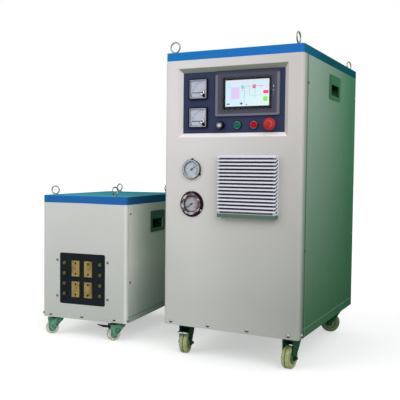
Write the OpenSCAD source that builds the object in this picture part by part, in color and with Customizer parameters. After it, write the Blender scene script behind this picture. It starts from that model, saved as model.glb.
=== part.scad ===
// Induction heating machine: a power cabinet with a console, and a lower
// heating station beside it, each on four swivel casters.
// +Z is up from the floor, +Y runs from the front to the back, and +X is to
// the right of someone who stands at the console. Lengths are millimetres.

/* [Power cabinet] */
// Width of the power cabinet
main_w = 496; // [470:1:620]
// Depth of the power cabinet
main_d = 675; // [620:1:900]
// Height of the power cabinet, from the floor to the top of its lid
main_h = 1050; // [1000:1:1300]
// Height of the coloured lid
main_lid_h = 28; // [20:1:40]
// Height of the base tray's band under the side covers
main_tray_h = 29; // [24:1:45]
// How far the front panel wraps round the sides
main_front_return = 36; // [30:1:60]
// How far the rear panel wraps round the sides
main_rear_return = 12; // [8:1:40]

/* [Heating station] */
// Width of the heating station
station_w = 363; // [330:1:450]
// Depth of the heating station
station_d = 540; // [460:1:700]
// Height of the heating station, from the floor to the top of its lid
station_h = 548; // [520:1:700]
// Height of its coloured lid
station_lid_h = 30; // [20:1:40]
// Height of its base tray's band
station_tray_h = 20; // [14:1:35]
// How far its front and rear panels wrap round the sides
station_return = 15; // [10:1:40]
// Gap between the two cabinets at the front
cabinet_gap = 189; // [160:1:400]
// How far the station's front right corner stands behind the main front
station_setback = 53; // [0:1:120]
// How far the station is turned, in degrees
station_turn = 6.6; // [0:0.1:12]

/* [Sheet metal] */
// Thickness of the panels, covers and lids
sheet_t = 2; // [1.5:0.1:3]
// Thickness of the base trays
tray_t = 3; // [2:0.5:5]
// Outer radius of the folded corners
fold_r = 12; // [5:1:16]
// Open seam between two panels
seam = 1; // [0.5:0.1:2]
// How far a panel's hidden flange reaches behind a side cover
flange_lap = 22; // [20:1:30]

/* [Console] */
// Width of the recess in the front panel
console_w = 397; // [390:1:420]
// Height of the recess
console_h = 235; // [230:1:260]
// Depth of the recess
console_depth = 13; // [11:0.5:20]
// Width of the sloping border inside the recess
console_bevel = 15; // [10:1:18]
// From the top of the front panel down to the recess
console_drop = 27; // [15:1:60]
// Side of each square meter
meter_w = 70; // [66:1:76]
// Height of a meter's bezel above the console
meter_proud = 8; // [7:0.5:10]
// From the inner left edge of the recess to the meters
meter_in = 24; // [10:1:30]
// From the inner top edge of the recess to the upper meter
meter_drop = 21; // [10:1:30]
// From one meter's centre to the other's
meter_pitch = 96; // [80:1:100]
// Width of the touch screen's bezel
screen_w = 226; // [200:1:230]
// Height of the bezel
screen_h = 146; // [130:1:148]
// Height of the bezel above the console
screen_proud = 7; // [5:0.5:9]
// From the inner right edge of the recess to the bezel
screen_in = 17; // [10:1:24]
// From the inner top edge of the recess to the bezel
screen_drop = 4; // [2:1:10]
// Width of the screen's glass
glass_w = 175; // [160:1:180]
// Height of the screen's glass
glass_h = 106; // [96:1:112]
// From the inner bottom edge of the recess up to the row of controls
control_up = 25; // [22:1:30]
// From the inner right edge of the recess to the emergency stop
control_in = 45; // [30:1:50]
// From one control to the next
control_pitch = 59; // [50:1:60]

/* [Controls] */
// Radius of the collar round each push button
collar_r = 14.8; // [14:0.1:16]
// Radius of a push button's cap
cap_r = 11; // [9:0.5:12]
// Travel of the start and stop buttons
button_travel = 4; // [2:0.5:5]
// Radius of the emergency stop's mushroom head
mushroom_r = 20; // [17:0.5:24]
// Travel of the emergency stop
mushroom_travel = 4; // [3:0.5:7]
// Radius of the power knob
knob_r = 13; // [10:0.5:16]
// Height of the power knob
knob_h = 15; // [12:0.5:20]

/* [Gauges and filter] */
// From the left edge of the cabinet to the gauges' centres
gauge_in = 108; // [70:1:110]
// From the recess down to the upper gauge's centre
gauge_drop = 107; // [60:1:120]
// From the upper gauge's centre to the lower one's
gauge_pitch = 118; // [95:1:140]
// Radius of the upper gauge's rim
upper_gauge_r = 33; // [32:0.5:40]
// Radius of the lower gauge's flange
lower_gauge_r = 44; // [40:0.5:48]
// Radius of both gauges' dials
dial_r = 28; // [25:0.5:30]
// Reading of the upper gauge's needle, in degrees from its zero
upper_reading = 188; // [0:1:270]
// Reading of the lower gauge's needle, in degrees from its zero
lower_reading = 11; // [0:1:270]
// Side of the square filter grille
grille_w = 204; // [180:1:220]
// How far the grille stands out of the front panel
grille_proud = 25; // [15:1:35]
// From the right edge of the cabinet to the grille's centre
grille_in = 180; // [150:1:200]
// From the recess down to the grille's centre
grille_drop = 162; // [140:1:220]
// Number of louvre slots
slot_count = 16; // [10:1:18]
// From one louvre slot to the next
slot_pitch = 11.7; // [9:0.1:12]
// Height of each louvre's front edge
louvre_h = 5.1; // [4:0.1:7]

/* [Terminals] */
// Side of the square window over the terminal board
board_w = 196; // [180:1:210]
// From the station's left edge to the window's centre
board_in = 174; // [130:1:190]
// From the floor to the window's centre
board_up = 230; // [190:1:280]
// Width of each copper terminal block
block_w = 33; // [28:1:36]
// Height of each copper terminal block
block_h = 60; // [50:1:66]
// From one column of blocks to the other
block_pitch_x = 54; // [48:1:60]
// From one row of blocks to the other
block_pitch_z = 80; // [72:1:90]
// Radius of a terminal's threaded hole
terminal_r = 4.25; // [3:0.05:5]
// Depth of a terminal's threaded hole
terminal_depth = 24; // [12:1:30]
// Outer radius of a water nipple
nipple_r = 5; // [4:0.5:6]
// From the board's centre to each column of nipples
nipple_out = 77; // [70:1:84]
// From one nipple to the next
nipple_pitch = 39.5; // [30:0.5:46]

/* [Casters] */
// Overall height of the power cabinet's casters
main_caster_h = 112; // [108:1:130]
// Radius of their wheels
main_wheel_r = 37.5; // [35:0.5:40]
// Width of their wheels
main_wheel_w = 28; // [25:1:40]
// From their swivel axis to the wheel's axle
main_trail = 25; // [15:1:32]
// Overall height of the station's casters
station_caster_h = 75; // [74:1:95]
// Radius of their wheels
station_wheel_r = 25; // [20:0.5:26]
// Width of their wheels
station_wheel_w = 22; // [18:1:26]
// From their swivel axis to the wheel's axle
station_trail = 20; // [12:1:24]
// From the main cabinet's sides to the swivel axes
main_caster_in = 50; // [42:1:80]
// From its front to the front swivel axes
main_caster_front = 90; // [40:1:110]
// From its back to the rear swivel axes
main_caster_back = 42; // [40:1:80]
// From the station's left side to the left swivel axes
station_caster_left = 35; // [30:1:60]
// From the station's right side to the front right swivel axis
station_caster_right = 58; // [40:1:80]
// From the station's right side to the rear right swivel axis
station_caster_rear = 31; // [30:1:60]
// From the station's front and back to the swivel axes
station_caster_back = 48; // [34:1:80]
// Radial clearance of axles and pins in their bores
running_fit = 0.05; // [0.02:0.01:0.1]

/* [Hidden] */
$fn = 48;

// Overrun of a cut past the face it cuts
over = 1;
// Clearance round a fixed piece that sits in a hole
seat_gap = 0.2;
// Clearance between moving pieces that don't bear on each other
free_gap = 0.3;

// Radius of the sphere whose cap has a given foot radius and height
function dome_sphere(foot_r, height) = (foot_r * foot_r + height * height) / (2 * height);

// Heights and edges of the power cabinet
main_z0 = main_caster_h;
main_z1 = main_h - main_lid_h;
main_band_z = main_z0 + main_tray_h;
cover_y0 = main_front_return + seam;
cover_y1 = main_d - main_rear_return - seam;

// Heights and edges of the heating station
station_z0 = station_caster_h;
station_z1 = station_h - station_lid_h;
station_band_z = station_z0 + station_tray_h;
station_cover_y0 = station_return + seam;
station_cover_y1 = station_d - station_return - seam;

// Edges of the console
console_top = main_z1 - console_drop;
console_z = console_top - console_h / 2;
console_bottom = console_top - console_h;
console_left = main_w / 2 - console_w / 2 + console_bevel;
console_right = main_w / 2 + console_w / 2 - console_bevel;
console_in_top = console_top - console_bevel;
console_in_bottom = console_bottom + console_bevel;
console_plate_lap = 10;

// Panel meters
meter_x = console_left + meter_in + meter_w / 2;
upper_meter_z = console_in_top - meter_drop - meter_w / 2;
meter_zs = [upper_meter_z, upper_meter_z - meter_pitch];
meter_y = console_depth - meter_proud;
meter_rim = 4;
meter_floor = 5.5;
meter_edge_r = 3;
meter_body_r = 30;
meter_body_len = 38;
meter_glass_t = 1.5;
meter_glass_in = 0.5;
meter_pivot_x = 15;
meter_pivot_z = -12;
meter_corner_w = 15;
meter_corner_t = 1.2;

// Needles
needle_t = 1;
needle_w = 1.6;
needle_hub_r = 3;
needle_pin_r = 1;
needle_lift = 1.2;
meter_needle_len = 38;
gauge_needle_len = 22;
gauge_needle_tail = 6;
gauge_needle_w = 2.4;
gauge_sweep = 270;
gauge_zero = -135;

// Touch screen
screen_x = console_right - screen_in - screen_w / 2;
screen_z = console_in_top - screen_drop - screen_h / 2;
screen_y = console_depth - screen_proud;
screen_edge_r = 5;
screen_body_in = 7;
screen_body_len = 36;
glass_t = 1.5;
glass_sink = 0.6;
glass_floor = 3.2;
glass_ledge = 2;

// Row of controls
control_z = console_in_bottom + control_up;
stop_x = console_right - control_in;
control_xs = [stop_x - 3 * control_pitch, stop_x - 2 * control_pitch,
    stop_x - control_pitch, stop_x];
collar_h = 6;
collar_lip = 1.5;
collar_floor = 5;
barrel_r = 10.9;
barrel_len = 26;
locknut_r = 13.5;
locknut_h = 5;
plunger_r = 8;
cap_proud = 4;
cap_round = 1.5;
cap_len = 4.8;
mushroom_t = 13;
mushroom_base_t = 4;
mushroom_lift = 17;
mushroom_collar_h = 8;
mushroom_back = console_depth - mushroom_lift;
mushroom_dome_r = dome_sphere(mushroom_r, mushroom_t - mushroom_base_t);
stem_r = 7;
stem_in_head = 8;
knob_shaft_r = 3;
knob_skirt_r = 14;
knob_skirt_h = 3;
knob_lift = 1;
knob_cap_r = 10.5;
knob_cap_t = 1.2;
knob_shaft_in = 10;
knob_mark_w = 1.5;
knob_mark_t = 0.8;
bushing_r = 5;
bushing_nut_r = 8;
bushing_nut_h = 2.5;
pot_r = 12;
pot_len = 14;

// Gauges
gauge_zs = [console_bottom - gauge_drop, console_bottom - gauge_drop - gauge_pitch];
gauge_body_r = 30;
gauge_body_len = 34;
gauge_rim_h = 10;
gauge_edge = 1;
gauge_glass_t = 1.5;
gauge_glass_in = 1;
gauge_floor = 6.5;
ear_r = 4.5;
ear_reach = 5;
ear_t = 2;
ear_screw_r = 2.2;
ear_screw_h = 1.8;
flange_t = 3;
flange_ring_r = 37;
flange_screw_r = 3;
flange_screw_at = 40.5;
gauge_port_r = 6;
gauge_port_len = 16;

// Filter grille and fan
grille_x = main_w - grille_in;
grille_z = console_bottom - grille_drop;
grille_base_t = 5;
grille_top = 8;
grille_end_in = 5;
grille_wall = 3;
louvre_rise = 9;
fan_w = 180;
fan_depth = 50;
fan_window = 168;
duct_r = 82;
blade_root = 24;
blade_tip = 76;
blade_w = 43;
blade_t = 2.5;
blade_tilt = 32;
blade_count = 7;
fan_hub_r = 32;
fan_motor_r = 28;
fan_motor_t = 14;
strut_w = 8;
fan_pin_r = 4;
rotor_len = 26;
rotor_gap = 4;

// Grip pockets in the sides
grip_w = 139;
grip_h = 85;
grip_r = 6;
grip_proud = 2.5;
grip_rim = 4;
grip_depth = 45;
grip_wall = 2;
grip_lip = 3;
mouth_w = 102;
mouth_h = 39;
mouth_drop = 10;
main_grip_back = 357;
main_grip_drop = 73;
station_grip_back = 274;
station_grip_drop = 75;

// Screws and bolts
screw_head_r = 4.5;
screw_head_h = 2.5;
screw_r = 2.4;
screw_len = 8;
bolt_head_r = 6.3;
bolt_head_h = 5;
bolt_r = 4;
bolt_len = 12;
bolt_in = 12;
main_bolt_first = 29;
main_bolt_pitch = 143.5;
main_bolt_count = 4;
station_bolt_first = 35;
station_bolt_pitch = 138;
station_bolt_count = 3;
main_side_bolt = 25;
station_side_bolt = 9.5;
cover_screw_in = 12;
main_screw_top = 88;
main_screw_low = 624;
station_cover_screw_in = 9;
station_screw_top = 34;
station_screw_low = 290;
board_screw_x = 108.5;
board_screw_z = 69.5;

// Lifting eyes
eye_ring_r = 17.5;
eye_wire_r = 2.7;
eye_collar_r = 9;
eye_collar_h = 3;
eye_neck_r = 4.5;
eye_shank_r = 4;
eye_nut_r = 7.5;
eye_nut_h = 6;
eye_in = 26;
eye_back = 22;
station_eye_ring_r = 15;
station_eye_in = 41;
station_eye_right = 63;
station_eye_skew = 25;
station_eye_back = 24;
main_eye_turns = [0, 90, 20, 80];
station_eye_turns = [10, 75, -20, 80];

// Inside the power cabinet
cold_plate_x = 95;
cold_plate_w = 300;
cold_plate_t = 20;
cold_plate_h = 520;
cold_plate_back = 340;
cold_port_r = 6;
module_w = 62;
module_h = 106;
module_t = 30;
module_gap = 36;
module_first_x = 46;
module_first_z = 120;
module_screw_r = 3;
driver_t = 2;
driver_gap = 12;
driver_post_r = 4;
can_r = 38;
can_h = 150;
can_pitch = 84;
can_stud_r = 4;
can_stud_h = 8;
can_first_x = 115;
can_back = 470;
manifold_w = 240;
manifold_h = 40;
manifold_t = 30;
manifold_up = 120;
hose_pitch = 120;
hose_r = 10;
hose_bore_r = 7;
hose_out = 34;
hose_nut_r = 15;
hose_nut_h = 6;
gland_r = 16;
gland_bore_r = 9;
gland_out = 22;
gland_in_len = 12;
gland_nut_r = 20;
gland_nut_h = 7;
gland_right = 70;

// Terminal board, blocks and nipples
board_t = 10;
board_lap = 20;
board_r = 7;
block_proud = 6;
bar_w = 22;
bar_h = 54;
terminal_off = 40;
nipple_out_len = 8;
nipple_hex_r = 6.8;
nipple_hex_h = 2.5;
nipple_bore_r = 2.6;
nipple_in_len = 18;
nipple_tail_r = 4;

// Matching transformer
core_w = 200;
core_d = 120;
core_h = 264;
core_leg = 44;
core_back = 150;
coil_gap = 3;
coil_wall = 18;
coil_end_gap = 4;

// Casters
plate_t = 4;
main_plate_w = 72;
station_plate_w = 48;
race_h = 8;
crown_t = 6;
main_head_r = 26;
station_head_r = 21;
kingpin_r = 6;
kingnut_r = 9;
kingnut_h = 5;
leg_t = 3.5;
leg_side_gap = 3;
main_boss_r = 11;
station_boss_r = 12;
main_leg_back = 22;
main_leg_fore = 38;
station_leg_back = 22;
station_leg_fore = 37;
axle_r = 5;
axle_head_r = 8;
axle_head_h = 4;
axle_end = 9;
hub_wall = 8;
hub_side_gap = 0.4;
rim_share = 0.62;
web_share = 0.55;
tread_round = 6;
groove_w = 3.5;
groove_d = 4;
plate_bolt_r = 5;
plate_bolt_h = 3.5;
plate_bolt_in = 9;
main_headings = [280, 262, 200, 190];
station_headings = [216, 228, 160, 10];

// Brake pedals on the cabinet's front left and the station's front right caster
pedal_pin_r = 2;
pedal_hub_r = 3.4;
pedal_lobe_r = 2.6;
pedal_lobe_out = 2.5;
pedal_lobe_at = 272;
pedal_t = 3;
station_pedal_arm = 46;
station_pedal_w = 34;
station_pedal_rise = 12;
main_pedal_arm = 33;
main_pedal_w = 38;
main_pedal_rise = 0;
pedal_tip_r = 2.6;
pedal_pin_in = 5;

// Where the cabinets stand, so that the origin is under the middle of the machine
station_span = station_w * cos(station_turn) + station_d * sin(station_turn);
main_x = (cabinet_gap + station_span - main_w) / 2;
main_y = (grille_proud - main_d - hose_out) / 2;

// Colours of the paint and the bare parts
panel_white = [0.82, 0.82, 0.80];
lid_blue = [0.12, 0.40, 0.78];
side_green = [0.42, 0.60, 0.48];
station_blue = [0.12, 0.38, 0.68];
station_grey = [0.60, 0.64, 0.58];
console_navy = [0.17, 0.19, 0.34];
bezel_grey = [0.34, 0.35, 0.40];
black = [0.07, 0.07, 0.08];
steel = [0.72, 0.73, 0.74];
brass = [0.72, 0.58, 0.30];
copper = [0.72, 0.45, 0.25];
grille_white = [0.88, 0.87, 0.93];
zinc_green = [0.25, 0.50, 0.42];
tread_cream = [0.70, 0.72, 0.56];

// Places a piece drawn in the power cabinet's own frame, whose origin is its
// front left edge at floor level
module in_main() translate([main_x, main_y, 0]) children();

// Places a piece drawn in the heating station's own frame
module in_station()
    translate([main_x - cabinet_gap, main_y + station_setback, 0])
        rotate([0, 0, station_turn])
            translate([-station_w, 0, 0])
                children();

// Outline of a rectangle with round corners, from its lower left corner
module round_rect(w, h, r) {
    translate([r, 0]) square([w - 2 * r, h]);
    translate([0, r]) square([w, h - 2 * r]);
    for (x = [r, w - r], y = [r, h - r]) translate([x, y]) circle(r);
}

// The same outline about its centre
module mid_round_rect(w, h, r) translate([-w / 2, -h / 2]) round_rect(w, h, r);

// Stands an outline drawn in X and Z up as a plate from y to y + t
module upright(y, t) translate([0, y + t, 0]) rotate([90, 0, 0]) linear_extrude(t) children();

// A round rod along Y
module rod_y(r, y0, y1) translate([0, y0, 0]) rotate([-90, 0, 0]) cylinder(r = r, h = y1 - y0);

// A round rod along X
module rod_x(r, x0, x1) translate([x0, 0, 0]) rotate([0, 90, 0]) cylinder(r = r, h = x1 - x0);

// Turns an outline of radius and depth about a line along Y
module turned_y() rotate([-90, 0, 0]) rotate_extrude() children();

// Draws children at the right side of a cabinet and mirrored at its left side
module both_sides(w) {
    translate([w, 0, 0]) children();
    mirror([1, 0, 0]) children();
}

// Panel folded round both front corners, with a hidden flange at each end
module folded_panel(w, d, wrap, z0, z1, flange_z) {
    translate([0, 0, z0]) linear_extrude(z1 - z0) difference() {
        intersection() {
            round_rect(w, d, fold_r);
            square([w, wrap]);
        }
        translate([sheet_t, sheet_t]) round_rect(w - 2 * sheet_t, d, fold_r - sheet_t);
    }
    for (x = [sheet_t, w - 2 * sheet_t])
        translate([x, wrap - sheet_t, flange_z])
            cube([sheet_t, flange_lap + sheet_t, z1 - flange_z]);
    for (x = [sheet_t - over, w - 2 * sheet_t])
        translate([x, wrap - sheet_t, flange_z])
            cube([sheet_t + over, sheet_t, z1 - flange_z]);
}

// Pan that carries the casters, with a band flush with the side covers
module base_pan(w, d, z0, band_h, wrap_front, wrap_rear) {
    in_w = w - 2 * sheet_t;
    in_d = d - 2 * sheet_t;
    translate([sheet_t, sheet_t, z0]) difference() {
        linear_extrude(band_h) round_rect(in_w, in_d, fold_r);
        translate([tray_t, tray_t, tray_t])
            linear_extrude(band_h) round_rect(in_w - 2 * tray_t, in_d - 2 * tray_t, fold_r - tray_t);
    }
    for (x = [0, w - sheet_t - tray_t])
        translate([x, wrap_front + seam, z0])
            cube([sheet_t + tray_t, d - wrap_front - wrap_rear - 2 * seam, band_h]);
}

// Lid with its rim turned down
module lid(w, d, z0, h) {
    difference() {
        translate([0, 0, z0]) linear_extrude(h) round_rect(w, d, fold_r);
        translate([sheet_t, sheet_t, z0 - over])
            linear_extrude(h - sheet_t + over)
                round_rect(w - 2 * sheet_t, d - 2 * sheet_t, fold_r - sheet_t);
    }
}

// Hand pocket, drawn on a side whose outer face is X = 0 and faces +X
module grip() {
    difference() {
        union() {
            rotate([90, 0, 90]) linear_extrude(grip_proud) mid_round_rect(grip_w, grip_h, grip_r);
            translate([-grip_depth, grip_rim - grip_w / 2, grip_rim - grip_h / 2])
                cube([grip_depth, grip_w - 2 * grip_rim, grip_h - 2 * grip_rim]);
        }
        translate([grip_wall - grip_depth, grip_rim + grip_wall - grip_w / 2,
            grip_rim + grip_wall - grip_h / 2])
            cube([grip_depth - grip_wall - grip_lip, grip_w - 2 * grip_rim - 2 * grip_wall,
                grip_h - 2 * grip_rim - 2 * grip_wall]);
        translate([-grip_lip - over, -mouth_w / 2, -mouth_drop - mouth_h / 2])
            cube([grip_lip + grip_proud + 2 * over, mouth_w, mouth_h]);
    }
}

// Window that a grip needs in a side cover
module grip_window()
    translate([-sheet_t - over, grip_rim - seat_gap - grip_w / 2, grip_rim - seat_gap - grip_h / 2])
        cube([sheet_t + 2 * over, grip_w - 2 * grip_rim + 2 * seat_gap,
            grip_h - 2 * grip_rim + 2 * seat_gap]);

// Pan head screw that points along -X, with its head on X = 0
module side_screw() {
    rod_x(screw_head_r, 0, screw_head_h);
    rod_x(screw_r, -screw_len, 0);
}

// Dome head bolt that points along -Z, with its head on Z = 0
module dome_bolt() {
    dome_r = dome_sphere(bolt_head_r, bolt_head_h);
    intersection() {
        translate([0, 0, bolt_head_h - dome_r]) sphere(r = dome_r);
        cylinder(r = bolt_head_r, h = bolt_head_h);
    }
    translate([0, 0, -bolt_len]) cylinder(r = bolt_r, h = bolt_len);
}

// Lifting eye that stands on Z = 0 and is held by a nut under the lid
module lifting_eye(ring_r) {
    ring_z = eye_collar_h + ring_r + eye_wire_r - over;
    cylinder(r = eye_collar_r, h = eye_collar_h);
    cylinder(r = eye_neck_r, h = eye_collar_h + eye_wire_r);
    translate([0, 0, ring_z]) rotate([90, 0, 0]) rotate_extrude() translate([ring_r, 0]) circle(eye_wire_r);
    translate([0, 0, -sheet_t - eye_nut_h]) cylinder(r = eye_shank_r, h = sheet_t + eye_nut_h);
    translate([0, 0, -sheet_t - eye_nut_h]) cylinder(r = eye_nut_r, h = eye_nut_h, $fn = 6);
}

// Where the lifting eyes stand on a lid
function corner_spots(w, d, in_x, in_y) =
    [[in_x, in_y], [w - in_x, in_y], [in_x, d - in_y], [w - in_x, d - in_y]];
main_eye_spots = corner_spots(main_w, main_d, eye_in, eye_back);
station_eye_spots = [[station_eye_in, station_eye_back], [station_w - station_eye_right, station_eye_back],
    [station_eye_in + station_eye_skew, station_d - station_eye_back],
    [station_w - station_eye_right, station_d - station_eye_back]];

// Where the casters swivel
main_caster_spots = [[main_caster_in, main_caster_front], [main_w - main_caster_in, main_caster_front],
    [main_caster_in, main_d - main_caster_back], [main_w - main_caster_in, main_d - main_caster_back]];
station_caster_spots = [[station_caster_left, station_caster_back],
    [station_w - station_caster_right, station_caster_back],
    [station_caster_left, station_d - station_caster_back],
    [station_w - station_caster_rear, station_d - station_caster_back]];

// Heights of the side covers' screws
main_screw_zs = [main_z1 - main_screw_low, main_z1 - main_screw_top];
station_screw_zs = [station_z1 - station_screw_low, station_z1 - station_screw_top];
main_screw_ys = [cover_y0 + cover_screw_in, cover_y1 - cover_screw_in];
station_screw_ys = [station_cover_y0 + station_cover_screw_in,
    station_cover_y1 - station_cover_screw_in];

// Copies children to each screw of the power cabinet's right side cover
module at_main_cover_screws()
    for (y = main_screw_ys, z = main_screw_zs) translate([0, y, z]) children();

// Copies children to each screw of the station's right side cover
module at_station_cover_screws()
    for (y = station_screw_ys, z = station_screw_zs) translate([0, y, z]) children();

// Holes for the power cabinet's bolts, through the front panel and the tray
module main_bolt_holes() {
    for (i = [0 : main_bolt_count - 1])
        translate([main_bolt_first + i * main_bolt_pitch, 0, main_z0 + bolt_in])
            rod_y(bolt_r + seat_gap, -over, bolt_len + over);
    for (i = [0 : main_bolt_count - 1])
        translate([main_bolt_first + i * main_bolt_pitch, main_d, main_z0 + bolt_in])
            rod_y(bolt_r + seat_gap, -bolt_len - over, over);
    both_sides(main_w) translate([0, main_side_bolt, main_z0 + bolt_in])
        rod_x(bolt_r + seat_gap, -bolt_len - over, over);
}

// Holes for the station's bolts
module station_bolt_holes() {
    for (i = [0 : station_bolt_count - 1])
        translate([station_bolt_first + i * station_bolt_pitch, 0, station_z0 + bolt_in])
            rod_y(bolt_r + seat_gap, -over, bolt_len + over);
    both_sides(station_w) translate([0, station_side_bolt, station_z0 + bolt_in])
        rod_x(bolt_r + seat_gap, -bolt_len - over, over);
}

// Opening that narrows by one bevel on each side from the front to its depth
module bevelled_opening(w, h, bevel, depth) {
    intersection() {
        translate([0, 0, -h]) linear_extrude(2 * h) taper_outline(w, bevel, depth);
        rotate([0, 90, 0]) translate([0, 0, -w]) linear_extrude(2 * w) taper_outline(h, bevel, depth);
    }
}

// Half of that opening, seen along one edge
module taper_outline(w, bevel, depth)
    polygon([[-w / 2, -over], [w / 2, -over], [w / 2, 0], [w / 2 - bevel, depth],
        [w / 2 - bevel, depth + over], [bevel - w / 2, depth + over],
        [bevel - w / 2, depth], [-w / 2, 0]]);

module base_tray() color(panel_white) in_main() difference() {
    base_pan(main_w, main_d, main_z0, main_tray_h, main_front_return, main_rear_return);
    main_bolt_holes();
}

module front_panel() color(panel_white) in_main() difference() {
    union() {
        folded_panel(main_w, main_d, main_front_return, main_z0, main_z1, main_band_z);
        translate([main_w / 2 - console_w / 2 - sheet_t, 0, console_bottom - sheet_t])
            cube([console_w + 2 * sheet_t, console_depth, console_h + 2 * sheet_t]);
    }
    translate([main_w / 2, 0, console_z])
        bevelled_opening(console_w, console_h, console_bevel, console_depth);
    translate([grille_x - fan_window / 2, -over, grille_z - fan_window / 2])
        cube([fan_window, sheet_t + 2 * over, fan_window]);
    for (z = gauge_zs) translate([gauge_in, 0, z]) rod_y(gauge_body_r + seat_gap, -over, sheet_t + over);
    main_bolt_holes();
    both_sides(main_w) at_main_cover_screws() rod_x(screw_r + seat_gap, -screw_len - over, over);
}

module rear_panel() color(panel_white) in_main() difference() {
    translate([0, main_d, 0]) mirror([0, 1, 0])
        folded_panel(main_w, main_d, main_rear_return, main_z0, main_z1, main_band_z);
    main_bolt_holes();
    both_sides(main_w) at_main_cover_screws() rod_x(screw_r + seat_gap, -screw_len - over, over);
    at_hoses() rod_y(hose_r + seat_gap, -sheet_t - over, over);
    at_gland() rod_y(gland_r + seat_gap, -sheet_t - over, over);
}

module side_covers() color(side_green) in_main() both_sides(main_w) difference() {
    translate([-sheet_t, cover_y0, main_band_z + seam])
        cube([sheet_t, cover_y1 - cover_y0, main_z1 - main_band_z - seam]);
    translate([0, main_grip_back, main_z1 - main_grip_drop]) grip_window();
    at_main_cover_screws() rod_x(screw_r + seat_gap, -sheet_t - over, over);
}

module top_cover() color(lid_blue) in_main() difference() {
    lid(main_w, main_d, main_z1, main_lid_h);
    for (p = main_eye_spots)
        translate([p[0], p[1], main_h - sheet_t - over])
            cylinder(r = eye_shank_r + seat_gap, h = sheet_t + 2 * over);
}

module grip_pockets() color(side_green) in_main() both_sides(main_w)
    translate([0, main_grip_back, main_z1 - main_grip_drop]) grip();

module lifting_eyes() color(steel) in_main()
    for (i = [0 : 3])
        translate([main_eye_spots[i][0], main_eye_spots[i][1], main_h])
            rotate([0, 0, main_eye_turns[i]]) lifting_eye(eye_ring_r);

module cover_screws() color(steel) in_main() {
    both_sides(main_w) at_main_cover_screws() side_screw();
    both_sides(main_w) translate([0, main_side_bolt, main_z0 + bolt_in]) rotate([0, 90, 0]) dome_bolt();
    for (i = [0 : main_bolt_count - 1])
        translate([main_bolt_first + i * main_bolt_pitch, 0, main_z0 + bolt_in])
            rotate([90, 0, 0]) dome_bolt();
    for (i = [0 : main_bolt_count - 1])
        translate([main_bolt_first + i * main_bolt_pitch, main_d, main_z0 + bolt_in])
            rotate([-90, 0, 0]) dome_bolt();
}

module console_plate() color(console_navy) in_main() difference() {
    translate([console_left - console_plate_lap, console_depth, console_in_bottom - console_plate_lap])
        cube([console_right - console_left + 2 * console_plate_lap, sheet_t,
            console_in_top - console_in_bottom + 2 * console_plate_lap]);
    for (z = meter_zs) translate([meter_x, 0, z])
        rod_y(meter_body_r + seat_gap, console_depth - over, console_depth + sheet_t + over);
    translate([screen_x - screen_w / 2 + screen_body_in - seat_gap, console_depth - over,
        screen_z - screen_h / 2 + screen_body_in - seat_gap])
        cube([screen_w - 2 * screen_body_in + 2 * seat_gap, sheet_t + 2 * over,
            screen_h - 2 * screen_body_in + 2 * seat_gap]);
    for (i = [1 : 3]) translate([control_xs[i], 0, control_z])
        rod_y(barrel_r + seat_gap, console_depth - over, console_depth + sheet_t + over);
    translate([control_xs[0], 0, control_z])
        rod_y(bushing_r + seat_gap, console_depth - over, console_depth + sheet_t + over);
}

module screen_bezel() color(bezel_grey) in_main() translate([screen_x, 0, screen_z]) difference() {
    union() {
        upright(screen_y, screen_proud) mid_round_rect(screen_w, screen_h, screen_edge_r);
        upright(console_depth, screen_body_len)
            square([screen_w - 2 * screen_body_in, screen_h - 2 * screen_body_in], center = true);
    }
    upright(screen_y - over, glass_sink + glass_t + over) square([glass_w, glass_h], center = true);
    upright(screen_y, glass_floor)
        square([glass_w - 2 * glass_ledge, glass_h - 2 * glass_ledge], center = true);
}

// One square meter, drawn about its own centre with its front at meter_y
module meter_case() {
    in_w = meter_w - 2 * meter_rim;
    difference() {
        union() {
            upright(meter_y, meter_proud) mid_round_rect(meter_w, meter_w, meter_edge_r);
            rod_y(meter_body_r, console_depth, console_depth + meter_body_len);
        }
        upright(meter_y - over, meter_floor + over) square([in_w, in_w], center = true);
    }
    translate([meter_pivot_x, 0, meter_pivot_z])
        rod_y(needle_pin_r, meter_y + meter_floor - needle_lift - needle_t - free_gap, meter_y + meter_floor);
    translate([in_w / 2 - meter_corner_w, meter_y + meter_floor - meter_corner_t, -in_w / 2])
        cube([meter_corner_w, meter_corner_t, meter_corner_w / 2]);
}

module meter_cases() color(black) in_main()
    for (z = meter_zs) translate([meter_x, 0, z]) meter_case();

// Round needle hub with its bore
module needle_hub(r) difference() {
    rod_y(r, 0, needle_t);
    rod_y(needle_pin_r + running_fit, -over, needle_t + over);
}

// Needle of a square meter, pointing left from its pivot at zero
module meter_needle(z) color(black) in_main()
    translate([meter_x + meter_pivot_x, meter_y + meter_floor - needle_lift - needle_t, z + meter_pivot_z]) {
        needle_hub(needle_hub_r);
        difference() {
            translate([-meter_needle_len, 0, -needle_w / 2]) cube([meter_needle_len, needle_t, needle_w]);
            rod_y(needle_hub_r - needle_pin_r, -over, needle_t + over);
        }
    }

module upper_meter_needle() meter_needle(meter_zs[0]);
module lower_meter_needle() meter_needle(meter_zs[1]);

module dial_windows() color([0.85, 0.92, 0.98, 0.4]) in_main() {
    for (z = meter_zs) translate([meter_x, 0, z])
        upright(meter_y + meter_glass_in, meter_glass_t)
            square([meter_w - 2 * meter_rim, meter_w - 2 * meter_rim], center = true);
    for (z = gauge_zs) translate([gauge_in, 0, z])
        rod_y(dial_r - seat_gap / 2, gauge_glass_in - gauge_rim_h,
            gauge_glass_in + gauge_glass_t - gauge_rim_h);
    translate([screen_x, 0, screen_z])
        upright(screen_y + glass_sink, glass_t) square([glass_w, glass_h], center = true);
}

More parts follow.
